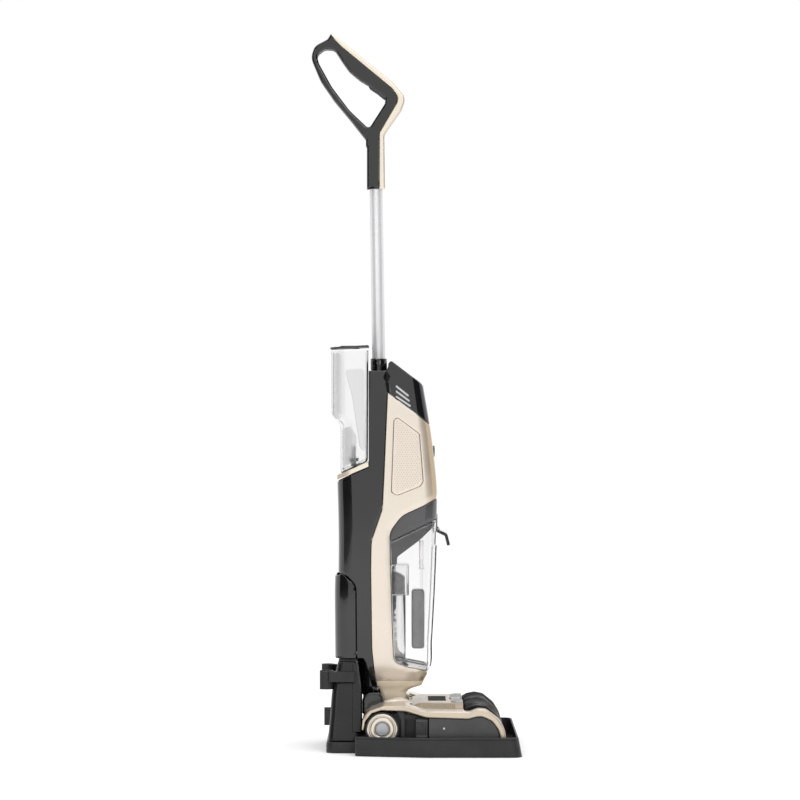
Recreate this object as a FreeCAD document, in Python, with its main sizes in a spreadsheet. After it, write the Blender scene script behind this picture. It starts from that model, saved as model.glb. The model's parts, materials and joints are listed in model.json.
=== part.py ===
import FreeCAD, Part
import math
import os

import Sketcher  # noqa: F401  registers the sketch object type

# Wet dry floor scrubber parked in its charging dock.
# Frame: +X forward, +Y to the machine's left, +Z up, origin on the dock's flat underside. Millimetres.

Vector = FreeCAD.Vector
doc = FreeCAD.newDocument("floor_scrubber")

# ---------------------------------------------------------------- driving dimensions
SIZES = [
    # general
    ("wall", 2.4, "housing wall thickness"),
    ("clear_wall", 2.0, "tank wall thickness"),
    ("gap", 0.5, "assembly gap between neighbouring mouldings"),
    # upright
    ("tube_x", -36.2, "handle tube axis"),
    ("tube_r", 10.5, "handle tube outer radius"),
    ("tube_bore", 9.3, "handle tube inner radius"),
    ("tube_low", 560.0, "lower end of the tube, inside the housing"),
    ("tube_length", 372.0, "length of the handle tube"),
    ("collar_r", 13.2, "collar radius"),
    ("collar_low", 601.0, "underside of the collar"),
    ("collar_height", 19.6, "height of the collar"),
    ("handle_width", 30.0, "thickness of the handle across"),
    ("handle_round", 4.0, "edge rounding of the handle"),
    ("handle_wall", 3.0, "wall of the handle shells"),
    ("trigger_width", 13.0, "width of the trigger"),
    ("panel_tilt", 37.5, "slope of the control panel, degrees"),
    ("panel_length", 34.0, "display panel, along the slope"),
    ("panel_width", 66.0, "display panel, across"),
    ("panel_thick", 1.6, "display panel thickness"),
    ("button_r", 7.0, "radius of the two panel buttons"),
    ("release_r", 9.0, "radius of the front release button"),
    ("release_z", 472.5, "height of the front release button"),
    ("motor_r", 32.0, "suction motor can radius"),
    ("motor_height", 62.0, "suction motor can height"),
    ("fan_r", 28.0, "suction fan radius"),
    ("cell_r", 9.1, "battery cell radius"),
    ("cell_length", 65.0, "battery cell length"),
    ("hose_r", 12.0, "suction hose outer radius"),
    ("hose_bore", 10.2, "suction hose inner radius"),
    ("pipe_x", 1.5, "axis of the dirty tank's standpipe"),
    ("pipe_r", 9.5, "standpipe outer radius"),
    ("float_x", 34.0, "axis of the float's stem"),
    ("stem_r", 2.2, "float stem radius"),
    ("sleeve_r", 5.0, "outer radius of the stem's guide sleeve"),
    # foot
    ("pivot_x", -14.0, "recline pivot axis"),
    ("pivot_z", 49.0, "recline pivot axis"),
    ("pivot_r", 19.0, "pivot drum radius"),
    ("pivot_width", 66.0, "pivot drum width"),
    ("stub_r", 8.0, "pivot stub shaft radius"),
    ("stub_width", 84.0, "pivot stubs, end to end"),
    ("foot_width", 290.0, "foot width at the brush roll"),
    ("foot_rear_width", 266.0, "foot width at the wheels"),
    ("wheel_face", 131.0, "outer face of each wheel from the middle plane"),
    ("wheel_x", -27.7, "wheel axis"),
    ("wheel_z", 41.2, "wheel axis"),
    ("wheel_r", 26.5, "wheel radius over the tyre"),
    ("hub_r", 24.6, "wheel hub radius"),
    ("wheel_width", 22.0, "wheel width"),
    ("axle_r", 4.0, "wheel axle radius"),
    ("axle_head_r", 9.7, "grey axle head radius"),
    ("brush_x", 128.0, "brush roll axis"),
    ("brush_z", 40.0, "brush roll axis"),
    ("brush_r", 25.3, "brush roll radius over the pile"),
    ("core_r", 18.0, "brush roll core radius"),
    ("brush_length", 236.0, "brush roll pile length"),
    ("window_half", 118.0, "half width of the brush window in the foot cover"),
    ("belt_y", 122.5, "middle of the drive belt"),
    ("belt_width", 6.0, "drive belt width"),
    ("big_pulley_r", 15.0, "brush pulley radius"),
    ("small_pulley_r", 6.0, "motor pulley radius"),
    ("brush_motor_x", 66.0, "brush motor axis"),
    ("brush_motor_z", 41.0, "brush motor axis"),
    ("brush_motor_r", 13.0, "brush motor radius"),
    # dock
    ("tray_height", 30.6, "tray wall height"),
    ("tray_wall", 3.0, "tray wall and floor thickness"),
    ("tray_half", 160.0, "half width of the tray at the front"),
    ("tray_mid_half", 139.0, "half width of the tray at the tower"),
    ("tower_half", 98.0, "half width of the tower's shoe"),
    ("tray_front", 190.0, "front edge of the tray"),
    ("tray_rear", -116.0, "rear edge of the tray"),
    ("shoe_height", 17.0, "height of the tower's shoe"),
    ("clip_bore", 9.0, "accessory clip bore radius"),
    ("clip_r", 11.8, "accessory clip outer radius"),
    ("clip_x", -116.5, "accessory clip axis"),
    ("clip_y", 62.0, "accessory clip axis, each side"),
    ("clip_low", 98.0, "underside of the clips"),
    ("clip_height", 29.0, "height of the clips"),
]
sheet = doc.addObject("Spreadsheet::Sheet", "Sizes")
for row, (alias, value, note) in enumerate(SIZES, start=1):
    sheet.set(f"A{row}", alias)
    sheet.set(f"B{row}", str(value))
    sheet.set(f"C{row}", note)
    sheet.setAlias(f"B{row}", alias)
doc.recompute()


class Size:
    """Reads a driving dimension from the sheet: size.wall is the cell whose alias is wall."""

    def __getattr__(self, alias):
        return float(sheet.get(alias))


size = Size()
PLANES = {
    "XY": FreeCAD.Rotation(),
    "XZ": FreeCAD.Rotation(Vector(1, 0, 0), 90),
    "YZ": FreeCAD.Rotation(Vector(1, 1, 1), 120),
}
PLANE_NORMALS = {"XY": Vector(0, 0, 1), "XZ": Vector(0, 1, 0), "YZ": Vector(1, 0, 0)}
sub_parts = []


# ---------------------------------------------------------------- drawing helpers
def rounded_edges(corners):
    """Lines and tangent arcs round a closed outline. A corner is (u, v) or (u, v, radius)."""
    count = len(corners)
    points = [Vector(c[0], c[1], 0) for c in corners]
    ends = []
    for i, corner in enumerate(corners):
        radius = corner[2] if len(corner) > 2 else 0.0
        here, before, after = points[i], points[i - 1], points[(i + 1) % count]
        to_before = (before - here).normalize()
        to_after = (after - here).normalize()
        turn = to_before.getAngle(to_after)
        if radius <= 0 or abs(math.pi - turn) < 0.01:
            ends.append((here, here, here))
            continue
        cut = radius / math.tan(turn / 2)
        room = 0.49 * min((before - here).Length, (after - here).Length)
        if cut > room:
            radius, cut = radius * room / cut, room
        middle = (to_before + to_after).normalize()
        centre = here + middle * (radius / math.sin(turn / 2))
        ends.append((here + to_before * cut, centre - middle * radius, here + to_after * cut))
    edges = []
    for i, (start, mid, end) in enumerate(ends):
        if (start - end).Length > 1e-6:
            edges.append(Part.Arc(start, mid, end))
        following = ends[(i + 1) % count][0]
        if (following - end).Length > 1e-6:
            edges.append(Part.LineSegment(end, following))
    return edges


def sketch(name, plane, corners, at=0.0, holes=()):
    """A sketch of one closed outline, and any holes, on a plane moved along its normal by at."""
    drawn = doc.addObject("Sketcher::SketchObject", name)
    drawn.Placement = FreeCAD.Placement(PLANE_NORMALS[plane] * at, PLANES[plane])
    for outline in (corners, *holes):
        drawn.addGeometry(rounded_edges(outline), False)
    return drawn


def extrusion(name, base, length, symmetric=True, reverse=False):
    """Pulls a flat shape out along its normal; length is an expression or a number."""
    made = doc.addObject("Part::Extrusion", name)
    made.Base = base
    made.DirMode = "Normal"
    made.Solid = True
    made.Symmetric = symmetric
    made.Reversed = reverse
    if isinstance(length, str):
        made.setExpression("LengthFwd", length)
    else:
        made.LengthFwd = length
    return made


def prism(name, plane, corners, length, at=0.0, symmetric=True, holes=()):
    return extrusion(name, sketch(f"{name}_outline", plane, corners, at, holes), length, symmetric)


def inset(name, base, value):
    """The flat shape base, with its edge moved in by value."""
    made = doc.addObject("Part::Offset2D", name)
    made.Source = base
    made.Join = 2
    made.setExpression("Value", f"-({value})")
    return made


def box(name, low, high):
    made = doc.addObject("Part::Box", name)
    made.Length, made.Width, made.Height = (high[i] - low[i] for i in range(3))
    made.Placement.Base = Vector(*low)
    return made


def cylinder(name, radius, length, centre, axis=Vector(0, 0, 1)):
    """A cylinder from centre along axis. radius and length are expressions or numbers."""
    made = doc.addObject("Part::Cylinder", name)
    for field, value in (("Radius", radius), ("Height", length)):
        if isinstance(value, str):
            made.setExpression(field, value)
        else:
            setattr(made, field, value)
    made.Placement = FreeCAD.Placement(Vector(*centre), FreeCAD.Rotation(Vector(0, 0, 1), axis))
    return made


def cut(name, base, *tools):
    """base less each tool in turn."""
    for i, tool in enumerate(tools):
        made = doc.addObject("Part::Cut", name if i == len(tools) - 1 else f"{name}_less_{i}")
        made.Base, made.Tool = base, tool
        base = made
    return base


def fuse(name, *shapes):
    made = doc.addObject("Part::MultiFuse", name)
    made.Shapes = list(shapes)
    made.Refine = True
    return made


def common(name, first, second):
    made = doc.addObject("Part::Common", name)
    made.Base, made.Tool = first, second
    return made


def group(name, *shapes):
    """Separate solids that share one node."""
    made = doc.addObject("Part::Compound", name)
    made.Links = list(shapes)
    return made


def round_off(name, base, radius, wanted):
    """Rounds the edges of base for which wanted(edge) is true."""
    doc.recompute()
    picked = [i + 1 for i, edge in enumerate(base.Shape.Edges) if wanted(edge)]
    made = doc.addObject("Part::Fillet", name)
    made.Base = base
    made.Edges = [(i, radius, radius) for i in picked]
    return made


def sub_part(made, label):
    """Marks an object as a piece of the real machine, with the name a person would use."""
    made.Label = label
    sub_parts.append(made)
    return made


def body(label):
    made = doc.addObject("PartDesign::Body", f"body_{label}")
    sub_parts.append(made)
    made.Label = label
    return made


def body_sketch(owner, plane, outlines, offset=0.0):
    """A sketch attached to one of the body's own origin planes."""
    drawn = owner.newObject("Sketcher::SketchObject", f"{owner.Name}_sketch")
    base = [o for o in owner.Origin.OriginFeatures if o.Role == f"{plane}_Plane"][0]
    drawn.AttachmentSupport = [(base, "")]
    drawn.MapMode = "FlatFace"
    drawn.AttachmentOffset = FreeCAD.Placement(Vector(0, 0, offset), FreeCAD.Rotation())
    for outline in outlines:
        drawn.addGeometry(rounded_edges(outline), False)
    return drawn


def pad(owner, drawn, length, symmetric=True):
    made = owner.newObject("PartDesign::Pad", f"{owner.Name}_pad")
    made.Profile = (drawn, [""])
    made.setExpression("Length", length)
    if symmetric:
        made.SideType = "Symmetric"
    return made


def revolve(owner, drawn, axis="H_Axis"):
    made = owner.newObject("PartDesign::Revolution", f"{owner.Name}_turned")
    made.Profile = (drawn, [""])
    made.ReferenceAxis = (drawn, [axis])
    made.Angle = 360.0
    return made


def turned(label, profile, centre, axis=Vector(0, 1, 0)):
    """A body turned about its own X axis from (distance along, radius) corners, then set on axis."""
    owner = body(label)
    revolve(owner, body_sketch(owner, "XY", [profile]))
    owner.Placement = FreeCAD.Placement(Vector(*centre), FreeCAD.Rotation(Vector(1, 0, 0), axis))
    return owner


def across(point, length):
    """The start of a length centred on the middle plane, for a cylinder along +Y."""
    return (point[0], -length / 2, point[1])


ALONG_Y = Vector(0, 1, 0)
WIDE = 400.0  # wider than the whole machine

# ---------------------------------------------------------------- the upright's outer form
# height, rear, front, half width, rear corner radius, front corner radius
FORM = [
    (100, -58, 33, 37, 15, 15),
    (126, -82, 46, 54, 22, 20),
    (170, -99, 49, 61, 26, 22),
    (263, -98, 54, 65, 27, 22),
    (340, -97.5, 57, 67, 27, 22),
    (410, -99, 58.5, 68, 27, 22),
    (463, -101, 54, 68, 27, 22),
    (522, -104, 46, 67, 27, 20),
    (569, -106, 38, 65, 27, 18),
    (622, -108, 29, 62, 26, 16),
]


def upright_form(name, depth):
    """The smooth form that the housings and the dirty tank are cut from, moved in by depth."""
    made = doc.addObject("Part::Loft", name)
    sections = []
    for i, (height, rear, front, half, rear_r, front_r) in enumerate(FORM):
        low, high = rear + depth, front - depth
        side = half - depth
        sections.append(
            sketch(
                f"{name}_section_{i}",
                "XY",
                [
                    (low, -side, rear_r - depth),
                    (high, -side, front_r - depth),
                    (high, side, front_r - depth),
                    (low, side, rear_r - depth),
                ],
                height,
            )
        )
    made.Sections = sections
    made.Solid = True
    return made


form = upright_form("form", 0.0)
core = upright_form("core", size.wall)
tank_core = upright_form("tank_core", size.clear_wall)
plug = upright_form("plug", size.clear_wall + size.gap)
plug_core = upright_form("plug_core", size.clear_wall + size.gap + size.wall)

# The parting line between the gold front and the black rear, seen from the side, from the top down.
SEAM = [
    (-19.7, 565.7),
    (-25.6, 428.2, 60),
    (-28.0, 382.0, 30),
    (-45.6, 331.0, 45),
    (-46.2, 283.2, 60),
    (-44.4, 160.0, 60),
]
# The edge of the bay that the dirty tank stands in, from the front of the roof round to the front of the cup.
BAY = [
    (70.0, 404.0),
    (34.7, 386.0, 60),
    (3.0, 371.5, 40),
    (-16.0, 346.0, 28),
    (-15.2, 291.3, 60),
    (-11.4, 172.2, 60),
    (-9.5, 140.0, 14),
    (12.0, 131.2, 30),
    (44.0, 125.7, 30),
    (70.0, 121.5),
]
HEAD_EDGE = [(43.6, 518.0, 6), (22.3, 534.9, 20)]  # gold below, top cover above, front to back


def shifted(points, dx, dz=0.0):
    return [(p[0] + dx, p[1] + dz, *p[2:]) for p in points]


# ---------------------------------------------------------------- front housing, gold
def front_outline(seam_shift, head_shift):
    """The front housing from the side. The shifts push its open sides out past its neighbours."""
    return (
        shifted(SEAM, seam_shift)
        + [(-40.5 + seam_shift, 124.0), (-37.0 + seam_shift, 104.0), (70.0, 104.0)]
        + BAY[::-1]
        + [(70.0, 498.0 + head_shift)]
        + shifted(HEAD_EDGE, 0.0, head_shift)
        + [(-19.7 + seam_shift, 565.8 + head_shift)]
    )


GRILLE = [
    (-9.5, 524.0, 5),
    (-4.0, 527.0, 4),
    (31.0, 501.0, 6),
    (36.8, 425.4, 8),
    (31.5, 418.0, 6),
    (-5.2, 403.1, 8),
    (-13.7, 409.0, 6),
]


def make_front_housing():
    outer = prism("front_outer", "XZ", front_outline(0.0, 0.0)[:-1], WIDE)
    room = extrusion(
        "front_room",
        inset(
            "front_room_edge", sketch("front_open", "XZ", front_outline(-8.0, 8.0)), "Sizes.wall"
        ),
        WIDE,
    )
    shell = cut(
        "front_shell",
        common("front_skin", form, outer),
        common("front_inside", core, room),
    )
    grille_window = prism("grille_window", "XZ", GRILLE, WIDE)
    hose_hole = cylinder("cup_hole", "Sizes.hose_r + 0.3", 60.0, (size.pivot_x + 2, 0, 90.0))
    release_hole = cylinder(
        "release_hole", "Sizes.release_r + 0.4", 30.0, (40.0, 0, size.release_z), Vector(1, 0, 0)
    )
    sub_part(
        cut("front_housing_solid", shell, grille_window, hose_hole, release_hole), "front_housing"
    )


def make_side_grilles():
    """Perforated panels let into the gold sides, 0.8 mm below the surface."""
    outside = upright_form("grille_outside", 0.8)
    inside = upright_form("grille_inside", size.wall)
    pane = extrusion(
        "grille_pane",
        inset("grille_edge", sketch("grille_outline", "XZ", GRILLE), "0.15"),
        WIDE,
    )
    skin = cut("grille_skin", common("grille_blank", outside, pane), inside)
    pitch, hole_r, rows = 5.6, 0.9, 21
    holes = []
    for j in range(rows):
        height = 409.0 + j * pitch
        for i in range(9):
            x = -12.0 + (i + 0.5 * (j % 2)) * pitch
            if grille_holds(x, height, 4.0):
                holes.append(
                    cylinder(f"pin_{i}_{j}", hole_r, WIDE, (x, -WIDE / 2, height), ALONG_Y)
                )
    return sub_part(cut("side_grilles_solid", skin, group("pins", *holes)), "side_grilles")


def grille_holds(x, z, margin):
    """Whether a point is inside the grille's outline, at least margin from its edge."""
    for i, a in enumerate(GRILLE):
        b = GRILLE[(i + 1) % len(GRILLE)]
        along = Vector(b[0] - a[0], b[1] - a[1], 0).normalize()
        inward = Vector(along.y, -along.x, 0)
        if (Vector(x, z, 0) - Vector(a[0], a[1], 0)).dot(inward) < margin:
            return False
    return True


# ---------------------------------------------------------------- rear housing, black
LEDGE = [(-101.5, 427.2), (-50.5, 448.6)]  # the sill that the gold tank seat lies on
BATTERY = [
    (-110.0, 277.0),
    (-93.0, 281.0, 10),
    (-69.5, 262.0, 20),
    (-68.5, 145.0, 3),
    (-110.0, 145.0),
]


# rounded tail that closes the housing's rear off behind the neck
TAIL = [(-43.6, 92.6), (-54.4, 139.4), (-58.2, 145.6), (-66.6, 145.6, 2), (-62.6, 125.0, 40), (-58.6, 101.0, 16),
        (-51.0, 87.0, 8), (-45.0, 86.0, 3)]


def rear_outline(seam_shift):
    return (
        [(-22.6 + seam_shift, 600.5)]
        + shifted(SEAM, seam_shift)
        + [
            (-41.0 + seam_shift, 124.0),
            (-34.5 + seam_shift, 92.0),
            (-43.0, 92.0),
            (-54.0, 139.0),
            (-58.0, 145.0),
            (-67.5, 145.0),
            (-68.5, 262.5, 21),
            (-93.0, 282.0, 10),
            (-115.0, 278.0),
            (-115.0, 421.5),
            (-49.5, 449.0),
            (-49.5, 600.5),
        ]
    )


def make_rear_housing():
    seam_gap = -0.25
    outer = prism("rear_outer", "XZ", rear_outline(seam_gap), WIDE)
    room = extrusion(
        "rear_room",
        inset("rear_room_edge", sketch("rear_open", "XZ", rear_outline(8.0)), "Sizes.wall"),
        WIDE,
    )
    shell = cut("rear_shell", common("rear_skin", form, outer), common("rear_inside", core, room))
    socket = cylinder("tube_socket", "Sizes.tube_r + 3", 43.0, (size.tube_x, 0, 557.5))
    bore = cylinder("tube_hole", "Sizes.tube_r + 0.05", 60.0, (size.tube_x, 0, 560.0))
    valve_hole = cylinder("ledge_hole", 7.0, 40.0, (-74.0, 0, 420.0))
    tail = prism("rear_tail", "XZ", TAIL, 84.0)
    sub_part(cut("rear_housing_solid", fuse("rear_body", shell, socket, tail), bore, valve_hole),
             "rear_housing")


def make_battery():
    plan = prism(
        "battery_plan",
        "XY",
        [(-103.5, -62.5, 26), (-60.0, -62.5), (-60.0, 62.5), (-103.5, 62.5, 26)],
        140.0,
        144.0,
        symmetric=False,
    )
    side = prism("battery_side", "XZ", BATTERY, WIDE)
    case = common("battery_block", plan, side)
    hollow = box("battery_room", (-99.0, -52.0, 149.0), (-73.0, 52.0, 268.0))
    contacts = [
        box(f"contact_pocket_{i}", (-90.0, y - 4.0, 140.0), (-80.0, y + 4.0, 146.5))
        for i, y in enumerate((-11.0, 11.0))
    ]
    sub_part(cut("battery_solid", case, hollow, *contacts), "battery_pack")
    cells = [
        cylinder(
            f"cell_{row}",
            "Sizes.cell_r",
            "Sizes.cell_length",
            (-86.0, -size.cell_length / 2, 160.0 + row * 19.2),
            ALONG_Y,
        )
        for row in range(6)
    ]
    sub_part(group("cells", *cells), "battery_cells")


# ---------------------------------------------------------------- top cover and controls
def make_top_cover():
    gap = size.gap
    edge = shifted(HEAD_EDGE[::-1], 0.0, gap)
    outline = (
        [(-22.0, 601.2), (-19.2, 603.0), (-18.2, 612.5, 2), (-14.0, 617.0, 2)]
        + [(34.7, 579.8, 9), (70.0, 544.0), (70.0, 498.0 + gap)]
        + edge[::-1]
        + [(-19.2, 565.9 + gap)]
    )
    outer = prism("top_outer", "XZ", outline, WIDE)
    opened = (
        [(-30.0, 603.0), (-19.2, 604.0), (-18.2, 612.5, 2), (-14.0, 617.0, 2)]
        + [(34.7, 579.8, 9), (90.0, 544.0), (90.0, 490.0)]
        + shifted(edge[::-1], 0.0, -8.0)
        + [(-30.0, 558.0)]
    )
    room = extrusion(
        "top_room", inset("top_room_edge", sketch("top_open", "XZ", opened), "Sizes.wall"), WIDE
    )
    shell = cut("top_shell", common("top_skin", form, outer), common("top_inside", core, room))
    vents = []
    for i in range(3):
        start = Vector(-6.6, 577.0 - 8.3 * i, 0)
        end = Vector(13.7 + 1.6 * i, 560.7 - 8.1 * i, 0)
        across_slot = (end - start).cross(Vector(0, 0, 1)).normalize() * 1.25
        corners = [start + across_slot, end + across_slot, end - across_slot, start - across_slot]
        vents.append(prism(f"vent_{i}", "XZ", [(c.x, c.y, 1.2) for c in corners], WIDE))
    window = on_panel(box("panel_window", (-1, -1, -1), (1, 1, 1)), 25.0, 0.0, 0.0)
    window.Length, window.Width, window.Height = size.panel_length, size.panel_width, 10.0
    window.Placement.Base = panel_point(
        25.0 - size.panel_length / 2, -size.panel_width / 2, -size.panel_thick
    )
    holes = [
        on_panel(cylinder(f"button_hole_{i}", "Sizes.button_r + 0.4", 20.0, (0, 0, 0)), 51.0, y, -10.0)
        for i, y in enumerate((-17.0, 17.0))
    ]
    sub_part(cut("top_cover_solid", shell, *vents, window, *holes), "top_cover")


PANEL_APEX = Vector(-14.0, 0, 617.0)
panel_turn = FreeCAD.Rotation(Vector(0, 1, 0), size.panel_tilt)


def panel_point(along, y, up):
    """A point on the sloping control panel: along the slope from the apex, across, and out of it."""
    return PANEL_APEX + panel_turn.multVec(Vector(along, y, up))


def on_panel(made, along, y, up):
    made.Placement = FreeCAD.Placement(panel_point(along, y, up), panel_turn)
    return made


def make_controls():
    pane = body("display_panel")
    half_l, half_w = size.panel_length / 2 - 0.2, size.panel_width / 2 - 0.2
    corners = [(-half_l, -half_w, 5), (half_l, -half_w, 5), (half_l, half_w, 5), (-half_l, half_w, 5)]
    pad(pane, body_sketch(pane, "XY", [corners]), "Sizes.panel_thick - 0.2", symmetric=False)
    on_panel(pane, 25.0, 0.0, -size.panel_thick + 0.1)
    for label, y in (("power_button", -17.0), ("mode_button", 17.0)):
        r = size.button_r
        owner = turned(label, [(-7, 0), (-7, r - 2), (-2, r - 2), (-2, r, 0.3), (1.2, r, 1), (1.6, 0)],
                       (0, 0, 0))
        owner.Placement = FreeCAD.Placement(
            panel_point(51.0, y, 0.0), panel_turn.multiply(FreeCAD.Rotation(Vector(1, 0, 0), Vector(0, 0, 1)))
        )
    r = size.release_r
    turned(
        "release_button",
        [(-5, 0), (-5, r - 2), (-1, r - 2), (-1, r, 0.3), (2.2, r, 1.2), (2.8, 0)],
        (53.2, 0, size.release_z),
        Vector(1, 0, 0),
    )
    board = box("board_slab", (-8.0, -40.0, 545.0), (-6.4, 40.0, 590.0))
    chips = [box(f"chip_{i}", (-6.4, y, 552.0 + 12 * i), (-3.4, y + 14.0, 562.0 + 12 * i))
             for i, y in enumerate((-30.0, 4.0))]
    sub_part(fuse("board", board, *chips), "control_board")


# ---------------------------------------------------------------- inside the upright
def make_inside():
    motor_x = 12.0
    can = cylinder("motor_can", "Sizes.motor_r", "Sizes.motor_height", (motor_x, 0, 428.0))
    shaft_hole = cylinder("motor_shaft_hole", 3.05, 30.0, (motor_x, 0, 470.0))
    sub_part(cut("motor", can, shaft_hole), "suction_motor")
    hub = cylinder("fan_hub", 8.0, 12.0, (motor_x, 0, 494.0))
    plate = cylinder("fan_plate", "Sizes.fan_r", 1.6, (motor_x, 0, 494.0))
    shaft = cylinder("fan_shaft", 3.0, 24.0, (motor_x, 0, 473.0))
    blades = []
    for i in range(9):
        blade = box(f"blade_{i}", (0, 0, 0), (size.fan_r - 7.0, 1.2, 10.0))
        turn = FreeCAD.Rotation(Vector(0, 0, 1), 40.0 * i)
        blade.Placement = FreeCAD.Placement(
            Vector(motor_x, 0, 494.5) + turn.multVec(Vector(6.0, 3.0, 0)), turn
        )
        blades.append(blade)
    sub_part(fuse("fan", hub, plate, shaft, *blades), "motor_fan")
    pump_case = cylinder("pump_case", 13.0, 34.0, (-76.0, 0, 372.0))
    pump_head = box("pump_head", (-88.0, -12.0, 354.0), (-64.0, 12.0, 372.0))
    sub_part(fuse("pump", pump_case, pump_head), "water_pump")
    hose = cylinder("hose_outer", "Sizes.hose_r", 72.0, (size.pivot_x + 2, 0, 57.0))
    hose_bore = cylinder("hose_inner", "Sizes.hose_bore", 80.0, (size.pivot_x + 2, 0, 50.0))
    sub_part(cut("hose", hose, hose_bore), "suction_hose")


# ---------------------------------------------------------------- neck and pivot
NECK = [
    (58, -28, 6, 27, 8, 8),
    (72, -31.5, 11, 30, 12, 12),
    (84, -34, 12, 32, 13, 13),
    (93, -36, 19, 34, 14, 14),
    (103.5, -37.5, 36, 39, 15, 15),
]


def make_neck():
    skin = doc.addObject("Part::Loft", "neck_skin")
    skin.Sections = [
        sketch(
            f"neck_section_{i}",
            "XY",
            [(rear, -half, rr), (front, -half, fr), (front, half, fr), (rear, half, rr)],
            height,
        )
        for i, (height, rear, front, half, rr, fr) in enumerate(NECK)
    ]
    skin.Solid = True
    pivot = (size.pivot_x, size.pivot_z)
    drum = cylinder("pivot_drum", "Sizes.pivot_r", "Sizes.pivot_width",
                    across(pivot, size.pivot_width), ALONG_Y)
    stubs = cylinder("pivot_stubs", "Sizes.stub_r", "Sizes.stub_width",
                     across(pivot, size.stub_width), ALONG_Y)
    throat = cylinder("neck_throat", "Sizes.hose_r + 0.3", 90.0, (size.pivot_x + 2, 0, 20.0))
    sub_part(cut("neck_solid", fuse("neck_body", skin, drum, stubs), throat), "neck")


# ---------------------------------------------------------------- tube, collar and handle
HANDLE = [
    (-109.8, 1139.5, 7),
    (-100.0, 1133.0, 8),
    (-13.1, 1063.0, 30),
    (9.5, 1037.0, 16),
    (2.0, 1017.0, 14),
    (-25.0, 978.5, 12),
    (-24.0, 870.0),
    (-52.5, 870.0),
    (-53.0, 972.0, 8),
    (-77.3, 999.0, 60),
    (-105.0, 1032.1, 60),
    (-127.0, 1064.0, 60),
    (-142.5, 1101.0, 22),
    (-136.2, 1119.5, 16),
    (-115.5, 1130.5, 10),
]
HANDLE_HOLE = [
    (-49.8, 987.5, 5),
    (-81.0, 1017.4, 60),
    (-108.6, 1054.2, 60),
    (-129.5, 1092.0, 30),
    (-132.5, 1105.0, 9),
    (-120.0, 1114.8, 10),
    (-104.5, 1113.9, 10),
    (-92.0, 1094.5, 30),
    (-80.5, 1078.5, 30),
    (-62.0, 1063.5, 20),
    (-49.8, 1056.9, 2),
    (-23.5, 1037.0, 7),
    (-24.0, 1028.0, 6),
]
GRIP_ROOM = [  # hollow of the grip, for the trigger's switch and its wires
    (-97.0, 1112.0, 3),
    (-13.5, 1047.5, 10),
    (-5.5, 1035.5, 8),
    (-30.5, 991.0, 4),
    (-36.5, 975.0, 3),
    (-46.5, 975.0, 3),
    (-46.5, 984.0, 3),
    (-20.5, 1026.0, 5),
    (-20.0, 1038.0, 3),
    (-46.0, 1060.5, 3),
    (-60.0, 1067.5, 5),
    (-77.0, 1081.5, 5),
    (-88.0, 1097.0, 5),
    (-97.0, 1108.0, 3),
]
TRIM_EDGE = [
    (-112.0, 1140.0),
    (-104.5, 1129.0, 8),
    (-95.0, 1119.5, 20),
    (-13.1, 1052.0, 20),
    (-1.5, 1035.5, 14),
    (-33.3, 981.0, 10),
    (-33.6, 880.0),
]
TRIGGER = [
    (-50.5, 1056.0, 1),
    (-47.5, 1051.2, 1.5),
    (-24.6, 1034.2, 1),
    (-20.0, 1038.5, 3),
    (-25.0, 1046.0, 3),
    (-46.0, 1061.5, 2),
]
TRIGGER_PIVOT = (-24.6, 1040.6)


def make_handle():
    blank = prism("handle_blank", "XZ", HANDLE, "Sizes.handle_width", holes=[HANDLE_HOLE])
    half = size.handle_width / 2
    rounded = round_off(
        "handle_rounded",
        blank,
        size.handle_round,
        lambda edge: edge.BoundBox.YLength < 0.01
        and abs(abs(edge.BoundBox.YMin) - half) < 0.01
        and edge.BoundBox.ZMax > 875.0,
    )
    softened = cut("handle_softened", rounded, box("below_handle", (-80, -30, 860), (0, 30, 891.6)))
    bore = cylinder("handle_bore", "Sizes.tube_r + 0.05", 60.0, (size.tube_x, 0, 873.0))
    trim_side = [(30.0, 880.0), (30.0, 1150.0), (-95.0, 1150.0)]
    trim = common("trim_blank", softened, prism("trim_cutter", "XZ", TRIM_EDGE + trim_side, WIDE))
    sub_part(cut("trim", trim, bore), "handle_trim")
    black_side = [(-150.0, 880.0), (-150.0, 1150.0)]
    dark = common(
        "grip_blank",
        softened,
        prism("grip_cutter", "XZ", shifted(TRIM_EDGE, -0.15) + black_side, WIDE),
    )
    room = prism("grip_room", "XZ", GRIP_ROOM, "Sizes.handle_width - 2 * Sizes.handle_wall")
    slot = inset("trigger_slot_edge", sketch("trigger_slot_outline", "XZ", TRIGGER), "-3.4")
    slot = extrusion("trigger_slot", slot, "Sizes.trigger_width + 1")
    pin = cylinder("pin_hole", 1.55, 24.0, across(TRIGGER_PIVOT, 24.0), ALONG_Y)
    hollow = cut("grip_hollow", dark, bore, room, slot, pin)
    for label, low, high in (("left", 0.05, 20.0), ("right", -20.0, -0.05)):
        side = box(f"side_{label}", (-160, low, 860), (60, high, 1160))
        sub_part(common(f"grip_{label}", hollow, side), f"handle_shell_{label}")
    lever = prism("trigger_blank", "XZ", TRIGGER, "Sizes.trigger_width")
    eye = cylinder("trigger_eye", 1.6, 30.0, across(TRIGGER_PIVOT, 30.0), ALONG_Y)
    sub_part(cut("trigger_solid", lever, eye), "trigger")
    sub_part(
        cylinder("trigger_axle", 1.5, 23.0, across(TRIGGER_PIVOT, 23.0), ALONG_Y), "trigger_pin"
    )


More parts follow.
